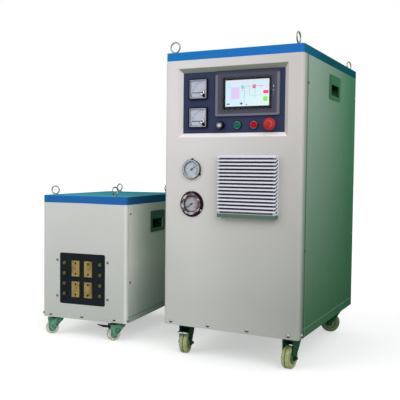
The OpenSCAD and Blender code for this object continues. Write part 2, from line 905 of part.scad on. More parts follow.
// Body, dial pan and port that both gauges share
module gauge_body(rim_r) {
    difference() {
        union() {
            turned_y() polygon([[0, -gauge_rim_h], [rim_r - gauge_edge, -gauge_rim_h],
                [rim_r, gauge_edge - gauge_rim_h], [rim_r, 0], [0, 0]]);
            rod_y(gauge_body_r, 0, gauge_body_len);
            rod_y(gauge_port_r, gauge_body_len, gauge_body_len + gauge_port_len);
        }
        rod_y(dial_r, -gauge_rim_h - over, gauge_floor - gauge_rim_h);
    }
    rod_y(needle_pin_r, gauge_floor - gauge_rim_h - needle_lift - needle_t - free_gap,
        gauge_floor - gauge_rim_h);
}

module gauge_cases() color(steel) in_main() {
    translate([gauge_in, 0, gauge_zs[0]]) {
        gauge_body(upper_gauge_r);
        for (a = [0, 120, 240]) rotate([0, a, 0]) translate([0, 0, upper_gauge_r + ear_reach - ear_r]) {
            rod_y(ear_r, -ear_t, 0);
            rod_y(ear_screw_r, -ear_t - ear_screw_h, 0);
            translate([-ear_r, -ear_t, -ear_reach - ear_r]) cube([2 * ear_r, ear_t, ear_reach + ear_r]);
        }
    }
    translate([gauge_in, 0, gauge_zs[1]]) {
        gauge_body(flange_ring_r);
        turned_y() polygon([[flange_ring_r - over, -flange_t], [lower_gauge_r - gauge_edge, -flange_t],
            [lower_gauge_r, gauge_edge - flange_t], [lower_gauge_r, 0], [flange_ring_r - over, 0]]);
        for (a = [0, 120, 240]) rotate([0, a, 0]) translate([0, 0, flange_screw_at])
            rod_y(flange_screw_r, -flange_t - ear_screw_h, 0);
    }
}

// Needle of a round gauge, turned to its reading
module gauge_needle(z, reading) color(black) in_main()
    translate([gauge_in, gauge_floor - gauge_rim_h - needle_lift - needle_t, z])
        rotate([0, gauge_zero + reading, 0]) {
            needle_hub(needle_hub_r);
            difference() {
                upright(0, needle_t) polygon([[-gauge_needle_w / 2, -gauge_needle_tail],
                    [gauge_needle_w / 2, -gauge_needle_tail], [gauge_needle_w / 2, 0],
                    [needle_t / 2, gauge_needle_len], [-needle_t / 2, gauge_needle_len],
                    [-gauge_needle_w / 2, 0]]);
                rod_y(needle_hub_r - needle_pin_r, -over, needle_t + over);
            }
        }

module upper_gauge_needle() gauge_needle(gauge_zs[0], upper_reading);
module lower_gauge_needle() gauge_needle(gauge_zs[1], lower_reading);

// Collar of a push button, seated on the console, with a nut behind it
module button_collar(height, bore_r) difference() {
    union() {
        turned_y() polygon([[0, console_depth - height], [collar_r - collar_lip, console_depth - height],
            [collar_r, console_depth - height + collar_lip], [collar_r, console_depth], [0, console_depth]]);
        rod_y(barrel_r, console_depth, console_depth + barrel_len);
        rod_y(locknut_r, console_depth + sheet_t, console_depth + sheet_t + locknut_h);
    }
    rod_y(bore_r, console_depth - height - over, console_depth + barrel_len + over);
}

module control_collars() color(steel) in_main() {
    for (i = [1 : 2]) translate([control_xs[i], 0, control_z]) difference() {
        button_collar(collar_h, plunger_r + free_gap);
        rod_y(cap_r + free_gap, console_depth - collar_h - over, console_depth - collar_h + collar_floor);
    }
    translate([control_xs[3], 0, control_z]) button_collar(mushroom_collar_h, stem_r + free_gap);
    translate([control_xs[0], 0, control_z]) difference() {
        union() {
            rod_y(bushing_r, console_depth - bushing_nut_h, console_depth + sheet_t + bushing_nut_h);
            rod_y(bushing_nut_r, console_depth - bushing_nut_h, console_depth);
            rod_y(pot_r, console_depth + sheet_t, console_depth + sheet_t + pot_len);
        }
        rod_y(knob_shaft_r + running_fit, console_depth - bushing_nut_h - over,
            console_depth + sheet_t + pot_len - bushing_nut_h);
    }
}

// Push button with a rounded cap that slides in its collar
module push_button(x, shade) color(shade) in_main() translate([x, 0, control_z]) {
    front = console_depth - collar_h - cap_proud;
    turned_y() polygon([[0, front], [cap_r - cap_round, front], [cap_r, front + cap_round],
        [cap_r, front + cap_len], [0, front + cap_len]]);
    rod_y(plunger_r, front + cap_len, console_depth + barrel_len);
}

module start_button() push_button(control_xs[1], [0.05, 0.45, 0.35]);
module stop_button() push_button(control_xs[2], [0.75, 0.05, 0.08]);

module emergency_stem() color(black) in_main() translate([control_xs[3], 0, control_z])
    rod_y(stem_r, mushroom_back - stem_in_head, console_depth + barrel_len);

module emergency_stop() color([0.80, 0.12, 0.12]) in_main() translate([control_xs[3], 0, control_z])
    difference() {
        intersection() {
            rod_y(mushroom_r, mushroom_back - mushroom_t, mushroom_back);
            translate([0, mushroom_back - mushroom_t + mushroom_dome_r, 0]) sphere(r = mushroom_dome_r);
        }
        rod_y(stem_r + running_fit, mushroom_back - stem_in_head - free_gap, mushroom_back + over);
    }

module power_knob() color(black) in_main() translate([control_xs[0], 0, control_z]) {
    back = console_depth - bushing_nut_h - knob_lift;
    rod_y(knob_skirt_r, back - knob_skirt_h, back);
    turned_y() polygon([[0, back - knob_h], [knob_r - over, back - knob_h], [knob_r, back - knob_h + over],
        [knob_r, back - knob_skirt_h], [0, back - knob_skirt_h]]);
    rod_y(knob_cap_r, back - knob_h - knob_cap_t, back - knob_h);
    rod_y(knob_shaft_r, back, back + knob_shaft_in);
    translate([-knob_mark_w / 2, back - knob_h - knob_cap_t - knob_mark_t, 0])
        cube([knob_mark_w, knob_mark_t + knob_cap_t, knob_cap_r]);
}

// Outline of one louvre, in depth and height from its lower front edge
module louvre_outline()
    polygon([[-grille_proud, 0], [-grille_proud, louvre_h],
        [-grille_base_t, louvre_h + louvre_rise], [-grille_base_t, louvre_rise]]);

module filter_grille() color(grille_white) in_main() translate([grille_x, 0, grille_z]) {
    top = grille_w / 2;
    first = top - grille_top - slot_pitch;
    last = first - (slot_count - 1) * slot_pitch;
    block_w0 = grille_w - 2 * grille_end_in;
    difference() {
        translate([-grille_w / 2, -grille_base_t, -grille_w / 2]) cube([grille_w, grille_base_t, grille_w]);
        translate([-fan_window / 2, -grille_base_t - over, -fan_window / 2])
            cube([fan_window, grille_base_t + 2 * over, fan_window]);
    }
    for (i = [0 : slot_count - 2])
        translate([-grille_w / 2, 0, first - i * slot_pitch])
            rotate([90, 0, 90]) linear_extrude(grille_w) louvre_outline();
    translate([-grille_w / 2, -grille_proud, top - grille_top])
        cube([grille_w, grille_proud - grille_base_t, grille_top]);
    translate([-grille_w / 2, -grille_proud, -top])
        cube([grille_w, grille_proud - grille_base_t, last + louvre_h + top]);
    for (x = [-block_w0 / 2, block_w0 / 2 - grille_wall])
        translate([x, over - grille_proud, -top])
            cube([grille_wall, grille_proud - grille_base_t - over, grille_w - over]);
}

module fan_frame() color(black) in_main() translate([grille_x, sheet_t, grille_z]) {
    difference() {
        upright(0, fan_depth) mid_round_rect(fan_w, fan_w, fold_r);
        rod_y(duct_r, -over, fan_depth + over);
    }
    rod_y(fan_motor_r, fan_depth - fan_motor_t, fan_depth);
    rod_y(fan_pin_r, fan_depth - fan_motor_t - rotor_len - rotor_gap / 2, fan_depth - fan_motor_t);
    for (a = [45, 165, 285]) rotate([0, a, 0])
        translate([-strut_w / 2, fan_depth - strut_w - over, fan_motor_r - strut_w])
            cube([strut_w, strut_w, duct_r + 2 * over - fan_motor_r + strut_w]);
}

module fan_rotor() color(black) in_main() translate([grille_x, sheet_t, grille_z]) {
    back = fan_depth - fan_motor_t - free_gap;
    difference() {
        union() {
            rod_y(fan_hub_r, back - rotor_len, back);
            for (i = [0 : blade_count - 1]) rotate([0, i * 360 / blade_count, 0])
                translate([0, back - rotor_len / 2, blade_root]) rotate([0, 0, blade_tilt])
                    translate([-blade_w / 2, -blade_t / 2, 0])
                        cube([blade_w, blade_t, blade_tip - blade_root]);
        }
        rod_y(fan_pin_r + running_fit, back - rotor_len - over, back + over);
    }
}

// Floor of the power cabinet's tray
main_floor = main_z0 + tray_t;

module cooling_plate() color(steel) in_main() translate([cold_plate_x, cold_plate_back, main_floor]) {
    difference() {
        cube([cold_plate_w, cold_plate_t, cold_plate_h]);
        for (x = [cold_plate_w / 3, cold_plate_w * 2 / 3])
            translate([x, cold_plate_t / 2, cold_plate_h / 2]) cylinder(r = cold_port_r, h = cold_plate_h);
    }
}

module power_modules() translate([cold_plate_x, cold_plate_back, main_floor]) {
    pitch_x = module_w + module_gap;
    pitch_z = module_h + module_gap;
    for (i = [0 : 1], j = [0 : 1])
        translate([module_first_x + i * pitch_x, -module_t, module_first_z + j * pitch_z]) {
            cube([module_w, module_t, module_h]);
            for (z = [module_gap / 2, module_h - module_gap / 2])
                translate([module_w / 2, 0, z]) rod_y(driver_post_r, -driver_gap, 0);
        }
    translate([module_first_x, -module_t - driver_gap - driver_t, module_first_z])
        cube([pitch_x + module_w, driver_t, pitch_z + module_h]);
}

module capacitor_bank()
    for (i = [0 : 2], j = [0 : 1])
        translate([can_first_x + i * can_pitch, can_back + j * can_pitch, main_floor]) {
            cylinder(r = can_r, h = can_h);
            for (x = [-can_r / 2, can_r / 2])
                translate([x, 0, can_h]) cylinder(r = can_stud_r, h = can_stud_h);
        }

module power_electronics() color(black) in_main() {
    power_modules();
    capacitor_bank();
}

// Copies children to the two hose nipples at the back
module at_hoses()
    for (x = [main_w / 2 - hose_pitch / 2, main_w / 2 + hose_pitch / 2])
        translate([x, main_d, main_z0 + manifold_up]) children();

// Copies children to the cable gland at the back
module at_gland() translate([main_w - gland_right, main_d, main_z0 + manifold_up]) children();

module rear_connections() color(brass) in_main() {
    difference() {
        union() {
            translate([main_w / 2 - manifold_w / 2, main_d - sheet_t - manifold_t,
                main_z0 + manifold_up - manifold_h / 2])
                cube([manifold_w, manifold_t, manifold_h]);
            at_hoses() rod_y(hose_r, -sheet_t, hose_out);
            at_hoses() rod_y(hose_nut_r, 0, hose_nut_h);
        }
        at_hoses() rod_y(hose_bore_r, -sheet_t - manifold_t / 2, hose_out + over);
    }
    at_gland() difference() {
        union() {
            rod_y(gland_r, -sheet_t - gland_in_len, gland_out);
            rod_y(gland_nut_r, 0, gland_nut_h);
            rod_y(gland_nut_r, -sheet_t - gland_nut_h, -sheet_t);
        }
        rod_y(gland_bore_r, -sheet_t - gland_in_len - over, gland_out + over);
    }
}

// Fixed half of a caster: plate with its bolts, upper race and kingpin
module caster_top(h, plate_w, head_r) {
    race_z = h - plate_t - race_h;
    crown_z = race_z - free_gap - crown_t;
    translate([-plate_w / 2, -plate_w / 2, h - plate_t]) cube([plate_w, plate_w, plate_t]);
    translate([0, 0, race_z]) cylinder(r1 = head_r, r2 = head_r - race_h / 2, h = race_h);
    translate([0, 0, crown_z - free_gap - kingnut_h])
        cylinder(r = kingpin_r, h = race_z - crown_z + free_gap + kingnut_h);
    translate([0, 0, crown_z - free_gap - kingnut_h]) cylinder(r = kingnut_r, h = kingnut_h, $fn = 6);
    for (x = [plate_bolt_in - plate_w / 2, plate_w / 2 - plate_bolt_in],
        y = [plate_bolt_in - plate_w / 2, plate_w / 2 - plate_bolt_in])
        translate([x, y, h - plate_t - plate_bolt_h]) cylinder(r = plate_bolt_r, h = plate_bolt_h, $fn = 6);
}

// Half of the width between a fork's legs
function fork_half(wheel_w) = wheel_w / 2 + leg_side_gap;

// Swivelling half of a caster, trailing along +X, with its axle
module caster_fork(h, head_r, wheel_r, wheel_w, trail, back, fore, boss_r) {
    crown_z = h - plate_t - race_h - free_gap - crown_t;
    half = fork_half(wheel_w);
    difference() {
        union() {
            translate([0, 0, crown_z]) cylinder(r = head_r, h = crown_t);
            translate([-back, -half - leg_t, crown_z]) cube([back + fore, 2 * half + 2 * leg_t, crown_t]);
            for (y = [-half - leg_t, half]) {
                upright(y, leg_t) polygon([[-back, crown_z + crown_t], [fore, crown_z + crown_t],
                    [fore, crown_z], [trail + boss_r, wheel_r], [trail - boss_r, wheel_r], [-back, crown_z]]);
                translate([trail, 0, wheel_r]) rod_y(boss_r, y, y + leg_t);
            }
        }
        translate([0, 0, crown_z - over]) cylinder(r = kingpin_r + running_fit, h = crown_t + 2 * over);
    }
    translate([trail, 0, wheel_r]) {
        rod_y(axle_r, -half - leg_t - axle_head_h, half + leg_t + axle_end);
        rod_y(axle_head_r, -half - leg_t - axle_head_h, -half - leg_t);
        translate([0, half + leg_t, 0]) rotate([-90, 0, 0])
            cylinder(r = axle_head_r, h = axle_head_h, $fn = 6);
    }
}

// Grooved wheel about a line along Y through the axle
module caster_wheel(wheel_r, wheel_w, trail) {
    hub_half = fork_half(wheel_w) - hub_side_gap;
    rim_r = wheel_r * rim_share;
    translate([trail, 0, wheel_r]) turned_y() difference() {
        union() {
            translate([axle_r + running_fit, -hub_half]) square([hub_wall, 2 * hub_half]);
            translate([axle_r + running_fit, -wheel_w * web_share / 2])
                square([wheel_r - axle_r - tread_round, wheel_w * web_share]);
            translate([rim_r, -wheel_w / 2]) square([wheel_r - rim_r - tread_round, wheel_w]);
            translate([wheel_r - 2 * tread_round - over, -wheel_w / 2])
                round_rect(2 * tread_round + over, wheel_w, tread_round);
        }
        translate([wheel_r - groove_d, -groove_w / 2]) square([groove_d + over, groove_w]);
    }
}

// Places a piece drawn about a caster's own swivel axis
module at_caster(spot, heading) translate([spot[0], spot[1], 0]) rotate([0, 0, heading]) children();

module caster_plates() color(zinc_green) in_main()
    for (i = [0 : 3]) at_caster(main_caster_spots[i], 0)
        caster_top(main_caster_h, main_plate_w, main_head_r);

module main_fork(i) color(zinc_green) in_main() at_caster(main_caster_spots[i], main_headings[i]) {
    caster_fork(main_caster_h, main_head_r, main_wheel_r, main_wheel_w, main_trail,
        main_leg_back, main_leg_fore, main_boss_r);
    if (i == 0) at_pedal(main_wheel_r, main_trail, main_leg_fore) pedal_pin(main_wheel_w);
}

module main_wheel(i) color(tread_cream) in_main() at_caster(main_caster_spots[i], main_headings[i])
    caster_wheel(main_wheel_r, main_wheel_w, main_trail);

module station_caster_plates() color(black) in_station()
    for (i = [0 : 3]) at_caster(station_caster_spots[i], 0)
        caster_top(station_caster_h, station_plate_w, station_head_r);

module station_fork(i) color(zinc_green) in_station()
    at_caster(station_caster_spots[i], station_headings[i]) {
        caster_fork(station_caster_h, station_head_r, station_wheel_r, station_wheel_w, station_trail,
            station_leg_back, station_leg_fore, station_boss_r);
        if (i == 1) at_pedal(station_wheel_r, station_trail, station_leg_fore) pedal_pin(station_wheel_w);
    }

module station_wheel(i) color(tread_cream) in_station()
    at_caster(station_caster_spots[i], station_headings[i])
        caster_wheel(station_wheel_r, station_wheel_w, station_trail);

// Places a piece drawn about a brake pedal's pin, with the pedal's lobe just clear of the wheel
module at_pedal(wheel_r, trail, fore) {
    lobe_at = wheel_r + pedal_lobe_r + pedal_lobe_out + free_gap;
    out = fore - pedal_pin_in - trail;
    translate([trail + out, 0, wheel_r + sqrt(lobe_at * lobe_at - out * out)]) children();
}

module pedal_pin(wheel_w) rod_y(pedal_pin_r, -fork_half(wheel_w) - over, fork_half(wheel_w) + over);

// Brake pedal drawn about its pin, with its arm raised by an angle
module foot_pedal(wheel_w, arm, w, rise) difference() {
    half = fork_half(wheel_w) - free_gap;
    neck = half - over;
    shoulder = pedal_pin_in + leg_side_gap;
    union() {
        rod_y(pedal_hub_r, -half, half);
        rotate([0, -pedal_lobe_at, 0]) translate([pedal_lobe_out, 0, 0])
            rod_y(pedal_lobe_r, over - neck, neck - over);
        rotate([0, -rise, 0]) {
            translate([0, 0, -pedal_t / 2]) linear_extrude(pedal_t)
                polygon([[0, -neck], [shoulder, -neck], [shoulder, -w / 2], [arm, -w / 2],
                    [arm, w / 2], [shoulder, w / 2], [shoulder, neck], [0, neck]]);
            translate([arm, 0, 0]) rod_y(pedal_tip_r, over - w / 2, w / 2 - over);
        }
    }
    rod_y(pedal_pin_r + running_fit, -half - over, half + over);
}

module brake_pedal() color(black) in_station() at_caster(station_caster_spots[1], station_headings[1])
    at_pedal(station_wheel_r, station_trail, station_leg_fore)
        foot_pedal(station_wheel_w, station_pedal_arm, station_pedal_w, station_pedal_rise);

module cabinet_brake_pedal() color(black) in_main() at_caster(main_caster_spots[0], main_headings[0])
    at_pedal(main_wheel_r, main_trail, main_leg_fore)
        foot_pedal(main_wheel_w, main_pedal_arm, main_pedal_w, main_pedal_rise);

module fork_front_left() main_fork(0);
module fork_front_right() main_fork(1);
module fork_rear_left() main_fork(2);
module fork_rear_right() main_fork(3);
module wheel_front_left() main_wheel(0);
module wheel_front_right() main_wheel(1);
module wheel_rear_left() main_wheel(2);
module wheel_rear_right() main_wheel(3);

module station_tray() color(station_grey) in_station() difference() {
    base_pan(station_w, station_d, station_z0, station_tray_h, station_return, station_return);
    station_bolt_holes();
}

module station_front_panel() color(panel_white) in_station() difference() {
    folded_panel(station_w, station_d, station_return, station_z0, station_z1, station_band_z);
    translate([board_in, 0, board_up]) upright(-over, sheet_t + 2 * over)
        mid_round_rect(board_w, board_w, board_r);
    at_board_screws() rod_y(screw_r + seat_gap, -over, sheet_t + over);
    station_bolt_holes();
    both_sides(station_w) at_station_cover_screws() rod_x(screw_r + seat_gap, -screw_len - over, over);
}

// Copies children to the four screws that hold the terminal board
module at_board_screws()
    for (x = [-board_screw_x, board_screw_x], z = [-board_screw_z, board_screw_z])
        translate([board_in + x, 0, board_up + z]) children();

module station_covers() color(station_grey) in_station() {
    both_sides(station_w) {
        difference() {
            translate([seat_gap - sheet_t, station_cover_y0, station_band_z + seam])
                cube([sheet_t - seat_gap, station_cover_y1 - station_cover_y0,
                    station_z1 - station_band_z - seam]);
            translate([0, station_grip_back, station_z1 - station_grip_drop]) grip_window();
            at_station_cover_screws() rod_x(screw_r + seat_gap, -sheet_t - over, over);
        }
        translate([0, station_grip_back, station_z1 - station_grip_drop]) grip();
    }
    difference() {
        translate([0, station_d, 0]) mirror([0, 1, 0])
            folded_panel(station_w, station_d, station_return, station_z0, station_z1, station_band_z);
        both_sides(station_w) at_station_cover_screws() rod_x(screw_r + seat_gap, -screw_len - over, over);
        at_station_hoses() rod_y(hose_r + seat_gap, -sheet_t - over, over);
    }
}

// Copies children to the two hose nipples at the station's back
module at_station_hoses()
    for (x = [station_w / 2 - hose_pitch / 2, station_w / 2 + hose_pitch / 2])
        translate([x, station_d, board_up]) children();

module station_top_cover() color(station_blue) in_station() difference() {
    lid(station_w, station_d, station_z1, station_lid_h);
    for (p = station_eye_spots)
        translate([p[0], p[1], station_h - sheet_t - over])
            cylinder(r = eye_shank_r + seat_gap, h = sheet_t + 2 * over);
}

module station_lifting_eyes() color(steel) in_station()
    for (i = [0 : 3])
        translate([station_eye_spots[i][0], station_eye_spots[i][1], station_h])
            rotate([0, 0, station_eye_turns[i]]) lifting_eye(station_eye_ring_r);

module station_screws() color(steel) in_station() {
    both_sides(station_w) at_station_cover_screws() side_screw();
    both_sides(station_w) translate([0, station_side_bolt, station_z0 + bolt_in])
        rotate([0, 90, 0]) dome_bolt();
    for (i = [0 : station_bolt_count - 1])
        translate([station_bolt_first + i * station_bolt_pitch, 0, station_z0 + bolt_in])
            rotate([90, 0, 0]) dome_bolt();
    at_board_screws() rotate([0, 0, -90]) side_screw();
}

// Copies children to the centres of the four terminal blocks
module at_blocks()
    for (x = [-block_pitch_x / 2, block_pitch_x / 2], z = [-block_pitch_z / 2, block_pitch_z / 2])
        translate([board_in + x, 0, board_up + z]) children();

// Copies children to the eight water nipples
module at_nipples()
    for (x = [-nipple_out, nipple_out], i = [0 : 3])
        translate([board_in + x, 0, board_up + (i - 3 / 2) * nipple_pitch]) children();

module terminal_board() color(black) in_station() difference() {
    translate([board_in, 0, board_up]) upright(sheet_t, board_t)
        square([board_w + 2 * board_lap, board_w + 2 * board_lap], center = true);
    at_blocks() translate([-bar_w / 2 - seat_gap, sheet_t - over, -bar_h / 2 - seat_gap])
        cube([bar_w + 2 * seat_gap, board_t + 2 * over, bar_h + 2 * seat_gap]);
    at_nipples() rod_y(nipple_tail_r + seat_gap, sheet_t - over, sheet_t + board_t + over);
    at_board_screws() rod_y(screw_r + seat_gap, sheet_t - over, sheet_t + board_t + over);
}

module terminal_blocks() color(copper) in_station() at_blocks() difference() {
    union() {
        translate([-block_w / 2, sheet_t - block_proud, -block_h / 2]) cube([block_w, block_proud, block_h]);
        translate([-bar_w / 2, sheet_t, -bar_h / 2])
            cube([bar_w, core_back - coil_gap - coil_wall - sheet_t, bar_h]);
    }
    for (z = [-terminal_off / 2, terminal_off / 2])
        translate([0, 0, z])
            rod_y(terminal_r, sheet_t - block_proud - over, sheet_t - block_proud + terminal_depth);
}

module water_nipples() color(brass) in_station() {
    at_nipples() front_nipple();
    at_station_hoses() difference() {
        union() {
            rod_y(hose_r, -sheet_t - hose_nut_h, hose_out);
            rod_y(hose_nut_r, 0, hose_nut_h);
            rod_y(hose_nut_r, -sheet_t - hose_nut_h, -sheet_t);
        }
        rod_y(hose_bore_r, -sheet_t - hose_nut_h - over, hose_out + over);
    }
}

// One water nipple of the terminal board, with its nut behind
module front_nipple() difference() {
    union() {
        rod_y(nipple_r, sheet_t - nipple_out_len, sheet_t);
        translate([0, sheet_t - nipple_hex_h, 0]) rotate([-90, 0, 0])
            cylinder(r = nipple_hex_r, h = nipple_hex_h, $fn = 6);
        rod_y(nipple_tail_r, sheet_t, sheet_t + nipple_in_len);
        translate([0, sheet_t + board_t, 0]) rotate([-90, 0, 0])
            cylinder(r = nipple_hex_r, h = nipple_hex_h, $fn = 6);
    }
    rod_y(nipple_bore_r, sheet_t - nipple_out_len - over, sheet_t + nipple_in_len + over);
}

// Floor of the station's tray
station_floor = station_z0 + tray_t;

module transformer_core() color([0.20, 0.20, 0.22]) in_station()
    translate([board_in - core_w / 2, core_back, station_floor]) difference() {
        cube([core_w, core_d, core_h]);
        for (x = [core_leg, core_w / 2 + core_leg / 2])
            translate([x, -over, core_leg])
                cube([core_w / 2 - core_leg * 3 / 2, core_d + 2 * over, core_h - 2 * core_leg]);
    }

module transformer_windings() color(copper) in_station()
    translate([board_in, core_back + core_d / 2, station_floor + core_leg]) {
        in_w = core_leg + 2 * coil_gap;
        in_d = core_d + 2 * coil_gap;
        coil_h = core_h - 2 * core_leg - coil_end_gap;
        difference() {
            translate([-in_w / 2 - coil_wall, -in_d / 2 - coil_wall, 0])
                cube([in_w + 2 * coil_wall, in_d + 2 * coil_wall, coil_h]);
            translate([-in_w / 2, -in_d / 2, -over]) cube([in_w, in_d, coil_h + 2 * over]);
        }
    }

module station_fork_front_left() station_fork(0);
module station_fork_front_right() station_fork(1);
module station_fork_rear_left() station_fork(2);
module station_fork_rear_right() station_fork(3);
module station_wheel_front_left() station_wheel(0);
module station_wheel_front_right() station_wheel(1);
module station_wheel_rear_left() station_wheel(2);
module station_wheel_rear_right() station_wheel(3);

base_tray();
front_panel();
side_covers();
rear_panel();
top_cover();
grip_pockets();
lifting_eyes();
cover_screws();
console_plate();
screen_bezel();
meter_cases();
dial_windows();
gauge_cases();
control_collars();
filter_grille();
fan_frame();
cooling_plate();
power_electronics();
rear_connections();
caster_plates();
upper_meter_needle();
lower_meter_needle();
power_knob();
start_button();
stop_button();
emergency_stem();
emergency_stop();
upper_gauge_needle();
lower_gauge_needle();
fan_rotor();
fork_front_left();
fork_front_right();
fork_rear_left();
fork_rear_right();
wheel_front_left();
wheel_front_right();
wheel_rear_left();
wheel_rear_right();
station_tray();
station_front_panel();
station_covers();
station_top_cover();
station_lifting_eyes();
station_screws();
terminal_board();
terminal_blocks();
water_nipples();
transformer_core();
transformer_windings();
station_caster_plates();
station_fork_front_left();
station_fork_front_right();
station_fork_rear_left();
station_fork_rear_right();
station_wheel_front_left();
station_wheel_front_right();
station_wheel_rear_left();
station_wheel_rear_right();
brake_pedal();
cabinet_brake_pedal();
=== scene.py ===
import math

import bmesh
import bpy
from mathutils import Matrix, Vector


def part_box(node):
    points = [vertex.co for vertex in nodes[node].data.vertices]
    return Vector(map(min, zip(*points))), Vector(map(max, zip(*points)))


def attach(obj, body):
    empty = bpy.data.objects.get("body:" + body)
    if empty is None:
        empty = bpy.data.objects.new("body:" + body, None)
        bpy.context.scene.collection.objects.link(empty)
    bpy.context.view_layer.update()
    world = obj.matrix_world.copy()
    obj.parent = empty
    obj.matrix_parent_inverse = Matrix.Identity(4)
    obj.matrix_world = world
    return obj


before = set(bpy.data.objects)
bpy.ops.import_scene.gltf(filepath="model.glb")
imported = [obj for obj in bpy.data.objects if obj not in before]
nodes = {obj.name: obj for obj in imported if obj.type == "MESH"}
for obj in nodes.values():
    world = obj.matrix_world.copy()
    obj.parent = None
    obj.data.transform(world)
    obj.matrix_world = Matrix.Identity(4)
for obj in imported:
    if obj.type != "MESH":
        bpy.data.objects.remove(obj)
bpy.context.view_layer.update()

X_AXIS, Y_AXIS, Z_AXIS = (1, 0, 0), (0, 1, 0), (0, 0, 1)

# The two cabinets' sizes, and where their own frames lie in the row frame, in millimetres
MAIN_W, MAIN_D = 496, 675
STATION_W, STATION_D = 363, 540
GRILLE_PROUD, HOSES_PROUD = 25, 34
STATION_ASIDE, STATION_SET_BACK = 189, 53
TURN = math.radians(6.6)
SPAN = STATION_W * math.cos(TURN) + STATION_D * math.sin(TURN)
MX, MY = (STATION_ASIDE + SPAN - MAIN_W) / 2, (GRILLE_PROUD - MAIN_D - HOSES_PROUD) / 2
MM = Matrix.Scale(0.001, 4)
MAIN = MM @ Matrix.Translation((MX, MY, 0))
STATION = (MM @ Matrix.Translation((MX - STATION_ASIDE, MY + STATION_SET_BACK, 0))
           @ Matrix.Rotation(TURN, 4, "Z") @ Matrix.Translation((-STATION_W, 0, 0)))
MAIN_MID, STATION_MID = MAIN_W / 2, STATION_W / 2

# Places on the front of the main cabinet, as part.scad has them
METER_X, METER_ZS = 123.5, (("upper", 924), ("lower", 828))
GAUGE_X, UPPER_GAUGE_Z, LOWER_GAUGE_Z = 108, 653, 535
KNOB_X, START_X, STOP_X, HEAD_X, CONTROL_Z = 209.5, 268.5, 327.5, 386.5, 800
SCREEN_X, SCREEN_Z = 301.5, 903
GRILLE_X = 316.0

# Casters: swivel axes, headings, trail and wheel radius
WHERE = ["front_left", "front_right", "rear_left", "rear_right"]
MAIN_SPOTS = [(50, 90), (446, 90), (50, 633), (446, 633)]
STATION_SPOTS = [(35, 48), (305, 48), (35, 492), (332, 492)]
MAIN_HEADINGS = [280, 262, 200, 190]
STATION_HEADINGS = [216, 228, 160, 10]
MAIN_TRAIL, MAIN_WHEEL_R = 25, 37.5
STATION_TRAIL, STATION_WHEEL_R = 20, 25


# ---------------------------------------------------------------- materials

def rgb(r, g, b):
    """A colour in 0 to 255 as Blender's linear one."""
    def line(v):
        v /= 255
        return v / 12.92 if v <= 0.04045 else ((v + 0.055) / 1.055) ** 2.4
    return (line(r), line(g), line(b), 1.0)


